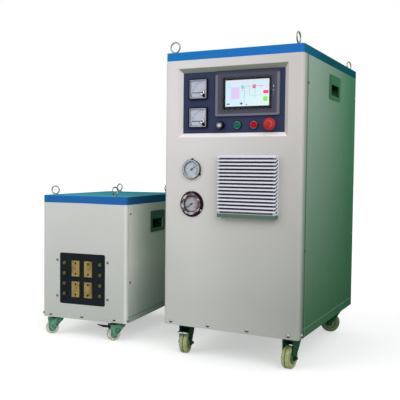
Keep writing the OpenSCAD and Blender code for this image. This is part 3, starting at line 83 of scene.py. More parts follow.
class Paint:
    """A node material that is built up from few calls."""

    def __init__(self, name):
        self.mat = bpy.data.materials.new(name)
        self.mat.use_nodes = True
        self.tree = self.mat.node_tree
        self.tree.nodes.clear()
        self.out = self.tree.nodes.new("ShaderNodeOutputMaterial")
        self.coords = self.tree.nodes.new("ShaderNodeTexCoord").outputs["Object"]
        self.z = self.upward(self.coords)

    def upward(self, vector):
        split = self.tree.nodes.new("ShaderNodeSeparateXYZ")
        self.tree.links.new(vector, split.inputs[0])
        return split.outputs["Z"]

    def feed(self, socket, value):
        if isinstance(value, bpy.types.NodeSocket):
            self.tree.links.new(value, socket)
        else:
            socket.default_value = value

    def math(self, op, a, b=0.0):
        n = self.tree.nodes.new("ShaderNodeMath")
        n.operation = op
        self.feed(n.inputs[0], a)
        self.feed(n.inputs[1], b)
        return n.outputs[0]

    def ramp(self, value, lo, hi):
        """0 below lo, 1 above hi, smooth between them."""
        n = self.tree.nodes.new("ShaderNodeMapRange")
        n.interpolation_type = "SMOOTHSTEP"
        self.feed(n.inputs["Value"], value)
        n.inputs["From Min"].default_value = lo
        n.inputs["From Max"].default_value = hi
        return n.outputs["Result"]

    def evenly(self, value, lo, hi):
        """0 below lo, 1 above hi, straight between them."""
        out = self.ramp(value, lo, hi)
        out.node.interpolation_type = "LINEAR"
        return out

    def rest(self, share):
        """What is left of 1."""
        return self.math("SUBTRACT", 1.0, share)

    def under(self, value, lo, hi):
        """1 below lo, 0 above hi, smooth between them."""
        return self.rest(self.ramp(value, lo, hi))

    def times(self, first, *others):
        for other in others:
            first = self.math("MULTIPLY", first, other)
        return first

    def gap(self, value, centre):
        """How far a value is from another, either way."""
        return self.math("ABSOLUTE", self.math("SUBTRACT", value, centre))

    def mix(self, fac, a, b):
        n = self.tree.nodes.new("ShaderNodeMix")
        n.data_type = "RGBA"
        self.feed(n.inputs[0], fac)
        self.feed(n.inputs[6], a)
        self.feed(n.inputs[7], b)
        return n.outputs[2]

    def noise(self, scale, detail=3.0, stretch=(1, 1, 1)):
        m = self.tree.nodes.new("ShaderNodeMapping")
        m.inputs["Scale"].default_value = stretch
        self.tree.links.new(self.coords, m.inputs["Vector"])
        n = self.tree.nodes.new("ShaderNodeTexNoise")
        n.inputs["Scale"].default_value = scale
        n.inputs["Detail"].default_value = detail
        self.tree.links.new(m.outputs[0], n.inputs["Vector"])
        return n.outputs["Fac"]

    def vector(self, op, a, b=None):
        n = self.tree.nodes.new("ShaderNodeVectorMath")
        n.operation = op
        self.tree.links.new(a, n.inputs[0])
        if b is not None:
            n.inputs[1].default_value = b
        return n

    def from_line(self, place, point, axis):
        """Distance in metres from a line, given in a cabinet's own millimetres."""
        d = (place.to_3x3() @ Vector(axis)).normalized()
        apart = self.vector("SUBTRACT", self.coords, place @ Vector(point))
        cross = self.vector("CROSS_PRODUCT", apart.outputs[0], d)
        return self.vector("LENGTH", cross.outputs[0]).outputs["Value"]

    def along(self, place, axis, offset=0.0):
        """Distance in metres along an axis of a cabinet's own frame."""
        d = (place.to_3x3() @ Vector(axis)).normalized()
        dot = self.vector("DOT_PRODUCT", self.coords, d)
        start = d.dot(place @ (Vector(axis) * offset))
        return self.math("SUBTRACT", dot.outputs["Value"], start)

    def away(self, place, axis, offset):
        """Distance in metres, either way, from a plane across that axis."""
        return self.math("ABSOLUTE", self.along(place, axis, offset))

    def line(self, value, slope, start):
        n = self.math("MULTIPLY_ADD", value, slope)
        n.node.inputs[2].default_value = start
        return n

    def bsdf(self, color, rough=0.5, metal=0.0, bump=None, edge=0.0, gloss=0.05):
        """Surface from a colour; bump is (height, strength, distance), edge a radius in metres."""
        n = self.tree.nodes.new("ShaderNodeBsdfPrincipled")
        self.feed(n.inputs["Base Color"], color)
        self.feed(n.inputs["Roughness"], rough)
        self.feed(n.inputs["Metallic"], metal)
        n.inputs["Specular IOR Level"].default_value = gloss
        normal = None
        if edge:
            b = self.tree.nodes.new("ShaderNodeBevel")
            b.samples = 4
            b.inputs["Radius"].default_value = edge
            normal = b.outputs[0]
        if bump:
            height, strength, distance = bump
            b = self.tree.nodes.new("ShaderNodeBump")
            b.inputs["Strength"].default_value = strength
            b.inputs["Distance"].default_value = distance
            self.tree.links.new(height, b.inputs["Height"])
            if normal:
                self.tree.links.new(normal, b.inputs["Normal"])
            normal = b.outputs[0]
        if normal:
            self.tree.links.new(normal, n.inputs["Normal"])
        self.tree.links.new(n.outputs[0], self.out.inputs["Surface"])
        return n


def soiled(p, color, amount=0.05):
    """The colour with a little uneven dust and handling."""
    cloud = p.ramp(p.noise(5.0, 5.0), 0.35, 0.75)
    dark = p.mix(amount, color, (0.12, 0.12, 0.11, 1))
    return p.mix(cloud, color, dark)


def powder_coat(name, tint, rough=0.42, edge=0.0012, gloss=0.02):
    """Powder coat: fine orange peel, faint dust. tint(p) gives its colour."""
    p = Paint(name)
    grain = p.noise(1400.0, 2.0)
    wear = p.line(p.noise(18.0, 4.0), 0.12, rough - 0.06)
    p.bsdf(soiled(p, tint(p)), wear, bump=(grain, 0.08, 0.0004), edge=edge, gloss=gloss)
    return p.mat


def plastic(name, color, rough=0.4, amount=0.04, grain=900.0, strength=0.06):
    """Moulded plastic with a fine grain."""
    p = Paint(name)
    p.bsdf(soiled(p, color, amount), rough, bump=(p.noise(grain, 2.0), strength, 0.0003), edge=0.0006)
    return p.mat


def metal(name, color, rough=0.3, stretch=(1, 1, 1), scale=600.0):
    """Bare metal with brushed or rolled marks."""
    p = Paint(name)
    brush = p.noise(scale, 3.0, stretch)
    tone = p.mix(p.ramp(brush, 0.3, 0.8), color, tuple(c * 0.72 for c in color[:3]) + (1,))
    p.bsdf(tone, p.line(brush, 0.25, rough - 0.08), metal=1.0, bump=(brush, 0.05, 0.0002), edge=0.0004)
    return p.mat


def blend4(p, u, v, low_near, low_far, top_near, top_far):
    """One of four colours in each corner of a panel."""
    return p.mix(v, p.mix(u, low_near, low_far), p.mix(u, top_near, top_far))


def front_tint(p):
    """Warm white, with painted shade that greys it to the right and towards the foot; the folds carry a
    painted green reflection and shade, and the sunk edges painted shade on the top bevel and a painted
    highlight on the bottom one.
    """
    across = p.evenly(p.along(MAIN, X_AXIS), 0.12, 0.50)
    # painted shade: darker to the right and towards the foot
    flat = blend4(p, across, p.evenly(p.z, 0.20, 0.86), rgb(182, 184, 179), rgb(152, 155, 148),
                  rgb(219, 214, 215), rgb(199, 194, 192))
    out = p.away(MAIN, X_AXIS, MAIN_MID)
    wrap = p.times(p.ramp(out, 0.2360, 0.2478), p.ramp(p.along(MAIN, Y_AXIS), 0.001, 0.030))
    # painted green reflection and shade on the folds, darker towards the foot
    fold_reflection_and_shade = p.mix(p.evenly(p.z, 0.15, 0.98), rgb(88, 112, 92), rgb(146, 164, 150))
    flat = p.mix(wrap, flat, fold_reflection_and_shade)
    sunk = p.times(p.ramp(p.along(MAIN, Y_AXIS), 0.0006, 0.0016),
                  p.under(out, 0.205, 0.206))
    # painted shade on the top bevel of the sunk console
    top_bevel_shade = p.times(sunk, p.ramp(p.z, 0.9798, 0.9806),
                    p.ramp(p.math("SUBTRACT", p.z, out), 0.7960, 0.7970))
    # painted highlight on the bottom bevel of the sunk console
    bottom_bevel_highlight = p.times(sunk, p.under(p.z, 0.7744, 0.7752),
                    p.under(p.math("ADD", p.z, out), 0.9580, 0.9590))
    return p.mix(bottom_bevel_highlight, p.mix(top_bevel_shade, flat, rgb(142, 150, 138)), rgb(236, 227, 229))


def rear_tint(p):
    # painted shade: darker towards the foot
    return p.mix(p.evenly(p.z, 0.12, 1.02), rgb(178, 181, 175), rgb(206, 203, 201))


def station_front_tint(p):
    # painted highlight along the fold at the right-hand corner, and painted shade darker towards the foot
    fold_highlight = p.ramp(p.along(STATION, X_AXIS), 0.3500, 0.3530)
    flat = p.mix(p.evenly(p.z, 0.08, 0.52), rgb(178, 181, 177), rgb(199, 200, 197))
    return p.mix(p.times(fold_highlight, 0.6), flat, rgb(222, 224, 219))


def side_tint(p):
    """Sage to deep green, deepening towards the back and the foot as painted shade and painted green
    reflection, with a dark seam behind the front fold and painted highlights along the fold lines at the
    front and the foot.
    """
    back = p.evenly(p.along(MAIN, Y_AXIS), 0.03, 0.60)
    # painted shade and green reflection: darker towards the back and the foot
    flat = blend4(p, back, p.evenly(p.z, 0.15, 1.02), rgb(52, 97, 66), rgb(16, 76, 41),
                  rgb(148, 170, 156), rgb(34, 112, 72))
    from_front = p.along(MAIN, Y_AXIS, 50.0)
    seam = p.under(from_front, 0.0010, 0.0016)
    # painted highlights along the cover's front edge and the fold at its foot
    edge = p.under(p.gap(from_front, 0.0032), 0.0006, 0.0012)
    fold_highlight = p.under(p.gap(p.z, 0.1402), 0.0006, 0.0012)
    flat = p.mix(p.times(seam, 0.55), flat, rgb(40, 66, 48))
    return p.mix(p.times(p.math("MAXIMUM", edge, fold_highlight), 0.45), flat, rgb(160, 184, 164))


def station_side_tint(p):
    """Pale to sage green, darker towards the back and the foot as painted shade and painted green
    reflection, with the tray's seam and saturated plates round the hand pockets.
    """
    back = p.evenly(p.along(STATION, Y_AXIS), 0.01, 0.42)
    # painted shade and green reflection: palest at the front top
    flat = blend4(p, back, p.evenly(p.z, 0.08, 0.30), rgb(166, 178, 168), rgb(112, 136, 117),
                  rgb(240, 240, 232), rgb(168, 186, 166))
    seam = p.under(p.gap(p.z, 0.0952), 0.0006, 0.0014)
    flat = p.mix(p.times(seam, 0.6), flat, rgb(52, 66, 56))
    depth = p.away(STATION, X_AXIS, STATION_MID)
    proud = p.math("MAXIMUM", p.ramp(depth, 0.1817, 0.1823), p.under(depth, 0.1770, 0.1785))
    near = p.under(p.away(STATION, Y_AXIS, 274.0), 0.0760, 0.0765)
    level = p.under(p.away(STATION, Z_AXIS, 443.0), 0.0480, 0.0485)
    plate = p.times(proud, near, level)
    return p.mix(plate, flat, rgb(30, 96, 66))


def lid_tint(p):
    across = p.evenly(p.along(MAIN, X_AXIS), 0.02, 0.48)
    front = p.mix(across, rgb(24, 118, 190), rgb(36, 110, 190))
    back = p.ramp(p.along(MAIN, Y_AXIS), 0.004, 0.30)
    # painted green reflection and shade: the side faces teal, darker towards the back
    side = p.mix(back, rgb(28, 102, 128), rgb(14, 82, 90))
    corner = p.ramp(p.away(MAIN, X_AXIS, MAIN_MID), 0.2450, 0.2479)
    # painted highlight on the rounded front-left corner
    painted_glint = p.under(p.away(MAIN, X_AXIS, 4.0), 0.0024, 0.0034)
    front = p.mix(p.times(painted_glint, 0.75), front, rgb(214, 222, 232))
    # painted green reflection: the top face teal
    return p.mix(p.ramp(p.z, 1.0488, 1.0496), p.mix(corner, front, side), rgb(36, 132, 142))


def station_lid_tint(p):
    across = p.evenly(p.along(STATION, X_AXIS), 0.02, 0.34)
    front = p.mix(across, rgb(36, 100, 166), rgb(36, 98, 168))
    corner = p.ramp(p.away(STATION, X_AXIS, STATION_MID), 0.1785, 0.1814)
    # painted shade: the side band a duller blue
    band = p.mix(corner, front, rgb(42, 94, 145))
    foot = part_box("station_top_cover")[0][2]
    # painted highlight along the band's lower edge
    lip_highlight = p.under(p.z, foot + 0.0012, foot + 0.0024)
    lip_highlight = p.times(lip_highlight, p.under(p.along(STATION, X_AXIS), 0.16, 0.30))
    band = p.mix(lip_highlight, band, rgb(196, 200, 206))
    back = p.evenly(p.along(STATION, Y_AXIS), 0.02, 0.52)
    # painted green reflection: the top face teal, greener towards the back
    return p.mix(p.ramp(p.z, 0.5468, 0.5476), band, p.mix(back, rgb(80, 164, 184), rgb(52, 148, 148)))


def grip_tint(p):
    """Saturated green plate; in the pocket a pale painted reflection at the bottom, and painted shade that
    darkens it upwards under the lip.
    """
    depth = p.away(MAIN, X_AXIS, MAIN_MID)
    # painted reflection low in the pocket, painted shade towards its top
    pocket = p.mix(p.evenly(p.z, 0.915, 0.955), rgb(120, 150, 128), rgb(14, 60, 38))
    return p.mix(p.ramp(depth, 0.2440, 0.2465), pocket, rgb(30, 100, 60))


def bolt_metal():
    """Zinc-plated domes and rings: painted highlight where they look up, painted shade underneath."""
    p = Paint("bolt_zinc")
    geo = p.tree.nodes.new("ShaderNodeNewGeometry")
    # painted light and shade from the way each face looks
    up = p.ramp(p.upward(geo.outputs["Normal"]), -0.25, 0.55)
    patches = p.ramp(p.noise(300.0, 3.0), 0.35, 0.75)
    tone = p.mix(patches, p.mix(up, rgb(34, 52, 42), rgb(196, 202, 198)), rgb(112, 122, 114))
    p.bsdf(tone, 0.32, metal=0.35, bump=(p.noise(600.0, 3.0), 0.05, 0.0002), edge=0.0004)
    return p.mat


def copper_blocks():
    """Machined copper, with patches of brown tarnish."""
    p = Paint("terminal_bronze")
    brush = p.noise(260.0, 4.0, (1, 1, 14))
    stain = p.ramp(p.noise(40.0, 4.0), 0.40, 0.68)
    color = p.mix(stain, rgb(150, 128, 70), rgb(100, 82, 44))
    p.bsdf(p.mix(p.times(brush, 0.35), color, rgb(206, 188, 136)), 0.4, metal=0.7,
           bump=(brush, 0.12, 0.0003), edge=0.0008)
    return p.mat


def bezel():
    """Grey touch screen bezel; its chamfered border has a painted highlight at the sides and bottom and
    painted shade along the top.
    """
    p = Paint("bezel_grey")
    dx = p.away(MAIN, X_AXIS, SCREEN_X)
    dz = p.away(MAIN, Z_AXIS, SCREEN_Z)
    # painted highlight on the chamfered border, painted shade along its top
    edge = p.math("MAXIMUM", p.ramp(dx, 0.1035, 0.1055), p.ramp(dz, 0.0650, 0.0668))
    top = p.ramp(p.z, 0.966, 0.968)
    color = p.mix(edge, rgb(74, 76, 90), p.mix(top, rgb(112, 112, 126), rgb(62, 64, 78)))
    p.bsdf(soiled(p, color), 0.4, bump=(p.noise(900.0, 2.0), 0.08, 0.0003), edge=0.0012)
    return p.mat


def grille():
    """Pale lilac filter grille, darker grey deep between its louvres as painted shade, with a painted dark
    green shadow along its foot.
    """
    p = Paint("grille_lilac")
    y = p.along(MAIN, Y_AXIS)
    low = p.under(p.z, 0.508, 0.516)
    face = p.mix(low, rgb(218, 216, 228), rgb(190, 190, 202))
    # painted shadow: dark green along the grille's foot
    floor = p.ramp(p.z, 0.5075, 0.5100)
    face = p.mix(floor, rgb(84, 106, 92), face)
    # painted shade deep between the louvres
    deep = p.ramp(y, -0.0249, -0.0238)
    slot_shade = p.times(deep, p.ramp(p.math("SUBTRACT", 0.700, p.z), 0.0095, 0.0105), p.ramp(p.z, 0.514, 0.516))
    middle = p.away(MAIN, X_AXIS, GRILLE_X)
    slot_shade = p.times(slot_shade, p.under(middle, 0.1004, 0.1012))
    p.bsdf(p.mix(slot_shade, face, rgb(90, 93, 108)), 0.5, bump=(p.noise(900.0, 2.0), 0.08, 0.0003),
           edge=0.0008)
    return p.mat


def mushroom():
    """Red emergency head with a paler turned ring."""
    p = Paint("mushroom_red")
    r = p.from_line(MAIN, (HEAD_X, 0, CONTROL_Z), Y_AXIS)
    ring = p.under(p.gap(r, 0.0112), 0.0012, 0.0024)
    ring = p.times(ring, p.ramp(p.noise(60.0, 2.0), 0.40, 0.56))
    p.bsdf(p.mix(ring, rgb(172, 46, 49), rgb(190, 76, 76)), 0.34, bump=(p.noise(700.0, 2.0), 0.06, 0.0003),
           edge=0.0008)
    return p.mat


def gauge_metal():
    """Bright gauge bodies; the lower one has a glossy near-black flange with three screws."""
    p = Paint("gauge_metal")
    r = p.from_line(MAIN, (GAUGE_X, 0, LOWER_GAUGE_Z), Y_AXIS)
    lower = p.under(p.z, 0.585, 0.590)
    dark = p.times(p.ramp(r, 0.0358, 0.0364), lower)
    for a in (0, 120, 240):
        a = math.radians(a)
        s = (GAUGE_X + 40.5 * math.sin(a), 0, LOWER_GAUGE_Z + 40.5 * math.cos(a))
        dark = p.times(dark, p.ramp(p.from_line(MAIN, s, Y_AXIS), 0.0029, 0.0032))
    upper = p.rest(lower)
    rim = p.times(upper, p.ramp(p.from_line(MAIN, (GAUGE_X, 0, UPPER_GAUGE_Z), Y_AXIS), 0.0306, 0.0314))
    # painted reflections: the lower gauge's ring mottled light and dark
    painted_glint = p.ramp(p.noise(70.0, 2.0), 0.44, 0.58)
    ring = p.mix(lower, rgb(196, 200, 202), p.mix(painted_glint, rgb(104, 90, 94), rgb(206, 198, 202)))
    color = p.mix(rim, ring, rgb(52, 84, 78))
    color = p.mix(dark, color, rgb(36, 25, 27))
    shade = p.math("MAXIMUM", dark, p.times(rim, 0.5))
    p.bsdf(color, 0.22, metal=p.rest(shade),
           bump=(p.noise(500.0, 3.0), 0.04, 0.0002), edge=0.0006)
    return p.mat


def collars():
    """Control collars: a bright ring round each button in a dark skirt."""
    p = Paint("collar_chrome")
    near = None
    for x in (KNOB_X, START_X, STOP_X):
        r = p.from_line(MAIN, (x, 0, CONTROL_Z), Y_AXIS)
        near = r if near is None else p.math("MINIMUM", near, r)
    skirt = p.ramp(near, 0.0122, 0.0128)
    tone = p.mix(skirt, rgb(150, 154, 160), rgb(30, 31, 38))
    p.bsdf(tone, 0.2, metal=p.rest(p.times(skirt, 0.8)),
           bump=(p.noise(500.0, 3.0), 0.05, 0.0002), edge=0.0004)
    return p.mat


def electronics():
    """Black moulded modules, and capacitor cans in blue sleeves behind them."""
    p = Paint("power_electronics")
    cans = p.ramp(p.along(MAIN, Y_AXIS), 0.424, 0.428)
    top = p.ramp(p.noise(30.0, 3.0), 0.4, 0.7)
    sleeve = p.mix(top, rgb(56, 70, 108), rgb(48, 60, 94))
    p.bsdf(p.mix(cans, rgb(24, 24, 28), sleeve), 0.34, bump=(p.noise(700.0, 2.0), 0.08, 0.0003), edge=0.0006)
    return p.mat


def glass():
    """Thin clear window: see-through with a soft reflection."""
    p = Paint("clear_window")
    clear = p.tree.nodes.new("ShaderNodeBsdfTransparent")
    gloss = p.tree.nodes.new("ShaderNodeBsdfGlossy")
    gloss.inputs["Roughness"].default_value = 0.05
    both = p.tree.nodes.new("ShaderNodeMixShader")
    both.inputs[0].default_value = 0.012
    p.tree.links.new(clear.outputs[0], both.inputs[1])
    p.tree.links.new(gloss.outputs[0], both.inputs[2])
    p.tree.links.new(both.outputs[0], p.out.inputs["Surface"])
    return p.mat


def caster_metal(name, color, dark):
    """Zinc-plated pressing, with darker stained spots."""
    p = Paint(name)
    spots = p.ramp(p.noise(90.0, 5.0), 0.38, 0.70)
    tone = p.mix(spots, color, dark)
    p.bsdf(tone, 0.38, metal=0.15, bump=(p.noise(500.0, 3.0), 0.1, 0.0003), edge=0.0008)
    return p.mat


def wheel(name, place, spot, trail, heading, radius, tread, hub):
    """Caster wheel: nylon tread with a darker hub, scuffed where it rolls."""
    p = Paint(name)
    h = math.radians(heading)
    centre = (spot[0] + trail * math.cos(h), spot[1] + trail * math.sin(h), radius)
    r = p.from_line(place, centre, (-math.sin(h), math.cos(h), 0))
    scuff = p.ramp(p.noise(120.0, 5.0), 0.42, 0.72)
    rim = p.mix(p.times(scuff, 0.55), tread, rgb(104, 106, 84))
    color = p.mix(p.ramp(r, radius * 0.00056, radius * 0.00060), hub, rim)
    depth = p.math("SUBTRACT", radius / 1000, r)
    band = p.times(p.ramp(depth, 0.0030, 0.0037), p.under(depth, 0.0042, 0.0048))
    p.bsdf(p.mix(p.times(band, 0.5), color, rgb(60, 62, 48)), 0.46,
           bump=(p.noise(300.0, 4.0), 0.12, 0.0004))
    return p.mat


def pedal(name, place, spot, heading, reach, height):
    """Black pressed pedal, with a patchy painted highlight along its rolled tip."""
    p = Paint(name)
    h = math.radians(heading)
    tip = (spot[0] + reach * math.cos(h), spot[1] + reach * math.sin(h), height)
    r = p.from_line(place, tip, (-math.sin(h), math.cos(h), 0))
    # painted highlight along the tip, broken into patches
    patches = p.times(p.under(r, 0.0032, 0.0044), p.ramp(p.noise(120.0, 4.0), 0.28, 0.52))
    p.bsdf(p.mix(patches, rgb(26, 28, 28), rgb(206, 210, 210)), 0.38, bump=(p.noise(500.0, 3.0), 0.06, 0.0003),
           edge=0.0006)
    return p.mat


M = {
    "panel": powder_coat("panel_white", front_tint),
    "station_panel": powder_coat("station_white", station_front_tint),
    "rear": powder_coat("rear_white", rear_tint),
    "side": powder_coat("side_green", side_tint),
    "station_side": powder_coat("station_side_green", station_side_tint),
    "lid": powder_coat("lid_blue", lid_tint, rough=0.34, gloss=0.0),
    "station_lid": powder_coat("station_lid_blue", station_lid_tint, rough=0.34, gloss=0.0),
    "grip": powder_coat("grip_green", grip_tint),
    "console": powder_coat("console_navy", lambda p: rgb(53, 60, 88), rough=0.38, edge=0),
    "black": plastic("black_plastic", rgb(18, 18, 22), 0.38),
    "button_green": plastic("button_green", rgb(0, 106, 82), 0.3),
    "button_red": plastic("button_red", rgb(174, 8, 16), 0.3),
    "needle": plastic("needle_black", rgb(16, 16, 18), 0.45),
    "board": plastic("board_black", rgb(18, 27, 32), 0.34, grain=300.0, strength=0.1),
    "face": plastic("dial_face", rgb(186, 190, 208), 0.5, 0.03),
    "gauge_face": plastic("gauge_face", rgb(178, 188, 198), 0.5, 0.03),
    "gauge_face_dull": plastic("gauge_face_dull", rgb(166, 164, 170), 0.5, 0.03),
    "hub": plastic("meter_hub", rgb(232, 232, 228), 0.4, 0.03),
    "ink": plastic("dial_ink", rgb(30, 32, 44), 0.6, 0.0),
    "red_ink": plastic("dial_red", rgb(176, 44, 44), 0.6, 0.0),
    "dark_steel": metal("dark_steel", rgb(74, 78, 80), 0.42),
    "eye": metal("eye_steel", rgb(150, 158, 154), 0.3),
    "chrome": metal("knob_chrome", rgb(214, 216, 220), 0.16),
    "brass": metal("turned_brass", rgb(132, 126, 84), 0.36),
    "aluminium": metal("milled_aluminium", rgb(200, 202, 206), 0.36, (1, 1, 12)),
    "core": metal("core_laminations", rgb(74, 74, 78), 0.5, (1, 1, 1), 200.0),
    "winding": metal("winding_copper", rgb(190, 118, 70), 0.34, (1, 1, 30), 60.0),
    # painted green reflection on the zinc of forks and plates; the cabinet's forks darker as painted shade
    "fork": caster_metal("fork_zinc", rgb(28, 78, 50), rgb(14, 40, 28)),
    "station_fork": caster_metal("station_fork_zinc", rgb(104, 158, 132), rgb(48, 86, 74)),
    "plate": caster_metal("plate_zinc", rgb(78, 98, 84), rgb(40, 54, 46)),
    "bolt": bolt_metal(),
    "copper": copper_blocks(),
    "bezel": bezel(),
    "grille": grille(),
    "mushroom": mushroom(),
    "gauges": gauge_metal(),
    "collars": collars(),
    "electronics": electronics(),
    "glass": glass(),
}

LOOK = {
    "base_tray": "side", "front_panel": "panel", "side_covers": "side", "rear_panel": "rear",
    "top_cover": "lid", "grip_pockets": "grip", "lifting_eyes": "eye", "cover_screws": "bolt",
    "console_plate": "console", "screen_bezel": "bezel", "meter_cases": "black",
    "dial_windows": "glass", "gauge_cases": "gauges", "control_collars": "collars",
    "filter_grille": "grille", "fan_frame": "black", "cooling_plate": "aluminium",
    "power_electronics": "electronics", "rear_connections": "brass",
    "caster_plates": "plate", "upper_meter_needle": "needle", "lower_meter_needle": "needle",
    "power_knob": "black", "start_button": "button_green", "stop_button": "button_red",
    "emergency_stem": "black", "emergency_stop": "mushroom", "upper_gauge_needle": "needle",
    "lower_gauge_needle": "needle", "fan_rotor": "black", "station_tray": "station_side",
    "station_front_panel": "station_panel", "station_covers": "station_side",
    "station_top_cover": "station_lid", "station_lifting_eyes": "eye",
    "station_screws": "bolt", "terminal_board": "board", "terminal_blocks": "copper",
    "water_nipples": "brass", "transformer_core": "core", "transformer_windings": "winding",
    "station_caster_plates": "plate",
}


def dress(node, material):
    obj = nodes[node]
    obj.data.materials.clear()
    obj.data.materials.append(material)


for node, look in LOOK.items():
    dress(node, M[look])
dress("brake_pedal", pedal("station_pedal_black", STATION, STATION_SPOTS[1], STATION_HEADINGS[1],
                           77.0, 60.6))
dress("cabinet_brake_pedal", pedal("pedal_black", MAIN, MAIN_SPOTS[0], MAIN_HEADINGS[0], 66.0, 79.65))
SHADED_TREAD, TREAD, HUB = rgb(96, 112, 84), rgb(160, 170, 122), rgb(112, 122, 98)
STATION_TREAD, STATION_HUB = rgb(214, 212, 196), rgb(132, 136, 136)
for i, w in enumerate(WHERE):
    dress("fork_" + w, M["fork"])
    dress("station_fork_" + w, M["station_fork"])
    dress("wheel_" + w, wheel("wheel_" + w, MAIN, MAIN_SPOTS[i], MAIN_TRAIL, MAIN_HEADINGS[i],
                              MAIN_WHEEL_R, SHADED_TREAD if w == "rear_right" else TREAD, HUB))
    dress("station_wheel_" + w, wheel("station_wheel_" + w, STATION, STATION_SPOTS[i], STATION_TRAIL,
                                      STATION_HEADINGS[i], STATION_WHEEL_R, STATION_TREAD, STATION_HUB))


# ------------------------------------------------------------------- pieces

def piece(name, place, body, material, build, smooth=False, bevel=0.0):
    """A mesh piece drawn in a cabinet's own millimetres."""
    bm = bmesh.new()
    build(bm)
    bmesh.ops.recalc_face_normals(bm, faces=bm.faces)
    bm.transform(place)
    mesh = bpy.data.meshes.new(name)
    bm.to_mesh(mesh)
    bm.free()
    mesh.materials.append(material)
    if smooth:
        for f in mesh.polygons:
            f.use_smooth = True
    obj = bpy.data.objects.new(name, mesh)
    bpy.context.scene.collection.objects.link(obj)
    if bevel:
        mod = obj.modifiers.new("bevel", "BEVEL")
        mod.width = bevel / 1000
        mod.segments = 2
    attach(obj, body)
    return obj


def slab(bm, x0, x1, y0, y1, z0, z1):
    verts = [bm.verts.new((x, y, z)) for z in (z0, z1) for y in (y0, y1) for x in (x0, x1)]
    for f in ((0, 2, 3, 1), (4, 5, 7, 6), (0, 1, 5, 4), (2, 6, 7, 3), (0, 4, 6, 2), (1, 3, 7, 5)):
        bm.faces.new([verts[i] for i in f])


def prism_y(bm, outline, y0, y1):
    """Outline of (x, z) points, drawn out from y0 to y1."""
    front = [bm.verts.new((x, y0, z)) for x, z in outline]
    back = [bm.verts.new((x, y1, z)) for x, z in outline]
    bm.faces.new(front)
    bm.faces.new(back[::-1])
    for i in range(len(outline)):
        j = (i + 1) % len(outline)
        bm.faces.new((front[j], front[i], back[i], back[j]))


def ring_y(bm, cx, cz, r0, r1, y0, y1, start=0.0, end=360.0, steps=64):
    """Ring or arc about a line along Y, clockwise from 12 o'clock as seen in front."""
    closed = end - start >= 360
    count = max(3, int(steps * (end - start) / 360))
    angles = [math.radians(start + (end - start) * i / count) for i in range(count + (not closed))]
    rows = []
    for a in angles:
        s, c = math.sin(a), math.cos(a)
        rows.append([bm.verts.new((cx + r * s, y, cz + r * c)) for r, y in
                     ((r0, y0), (r1, y0), (r1, y1), (r0, y1))])
    for i in range(len(rows) - (not closed)):
        p, q = rows[i], rows[(i + 1) % len(rows)]
        for k in range(4):
            bm.faces.new((p[k], p[(k + 1) % 4], q[(k + 1) % 4], q[k]))
    if not closed:
        bm.faces.new(rows[0])
        bm.faces.new(rows[-1][::-1])


def frame_strip(bm, cx, cz, w, h, t, y0, y1):
    """A flat square frame, t wide."""
    for s in ((cx - w / 2, cx + w / 2, y0, y1, cz + h / 2 - t, cz + h / 2),
              (cx - w / 2, cx + w / 2, y0, y1, cz - h / 2, cz - h / 2 + t),
              (cx - w / 2, cx - w / 2 + t, y0, y1, cz - h / 2 + t, cz + h / 2 - t),
              (cx + w / 2 - t, cx + w / 2, y0, y1, cz - h / 2 + t, cz + h / 2 - t)):
        slab(bm, *s)


def disc_y(bm, cx, cz, r, y0, y1, steps=48):
    prism_y(bm, [(cx + r * math.cos(2 * math.pi * i / steps), cz + r * math.sin(2 * math.pi * i / steps))
                 for i in range(steps)], y0, y1)


def tick(bm, cx, cz, r0, r1, angle, width, y0, y1):
    """A mark that points at a dial's centre, clockwise from 12 o'clock."""
    a = math.radians(angle)
    out, across = (math.sin(a), math.cos(a)), (math.cos(a), -math.sin(a))
    pts = []
    for r, s in ((r0, -1), (r1, -1), (r1, 1), (r0, 1)):
        pts.append((cx + out[0] * r + across[0] * s * width / 2,
                    cz + out[1] * r + across[1] * s * width / 2))
    prism_y(bm, pts, y0, y1)


SEGMENTS = {"0": "abcdef", "1": "bc", "2": "abged", "3": "abgcd", "4": "fgbc", "5": "afgcd",
            "6": "afgedc", "7": "abc", "8": "abcdefg", "9": "abcdfg"}


def number(bm, text, cx, cz, h, y0, y1):
    """A plain number in seven strokes, for a dial."""
    w, t = h * 0.5, h * 0.14
    step = w + 2.2 * t
    left = cx - step * (len(text) - 1) / 2
    for i, ch in enumerate(text):
        x0, x1 = left + i * step - w / 2, left + i * step + w / 2
        z0, zm, z1 = cz - h / 2, cz, cz + h / 2
        bars = {"a": (x0, x1, z1 - t, z1), "g": (x0, x1, zm - t / 2, zm + t / 2), "d": (x0, x1, z0, z0 + t),
                "f": (x0, x0 + t, zm, z1), "e": (x0, x0 + t, z0, zm), "b": (x1 - t, x1, zm, z1),
                "c": (x1 - t, x1, z0, zm)}
        for s in SEGMENTS[ch]:
            slab(bm, bars[s][0], bars[s][1], y0, y1, bars[s][2], bars[s][3])


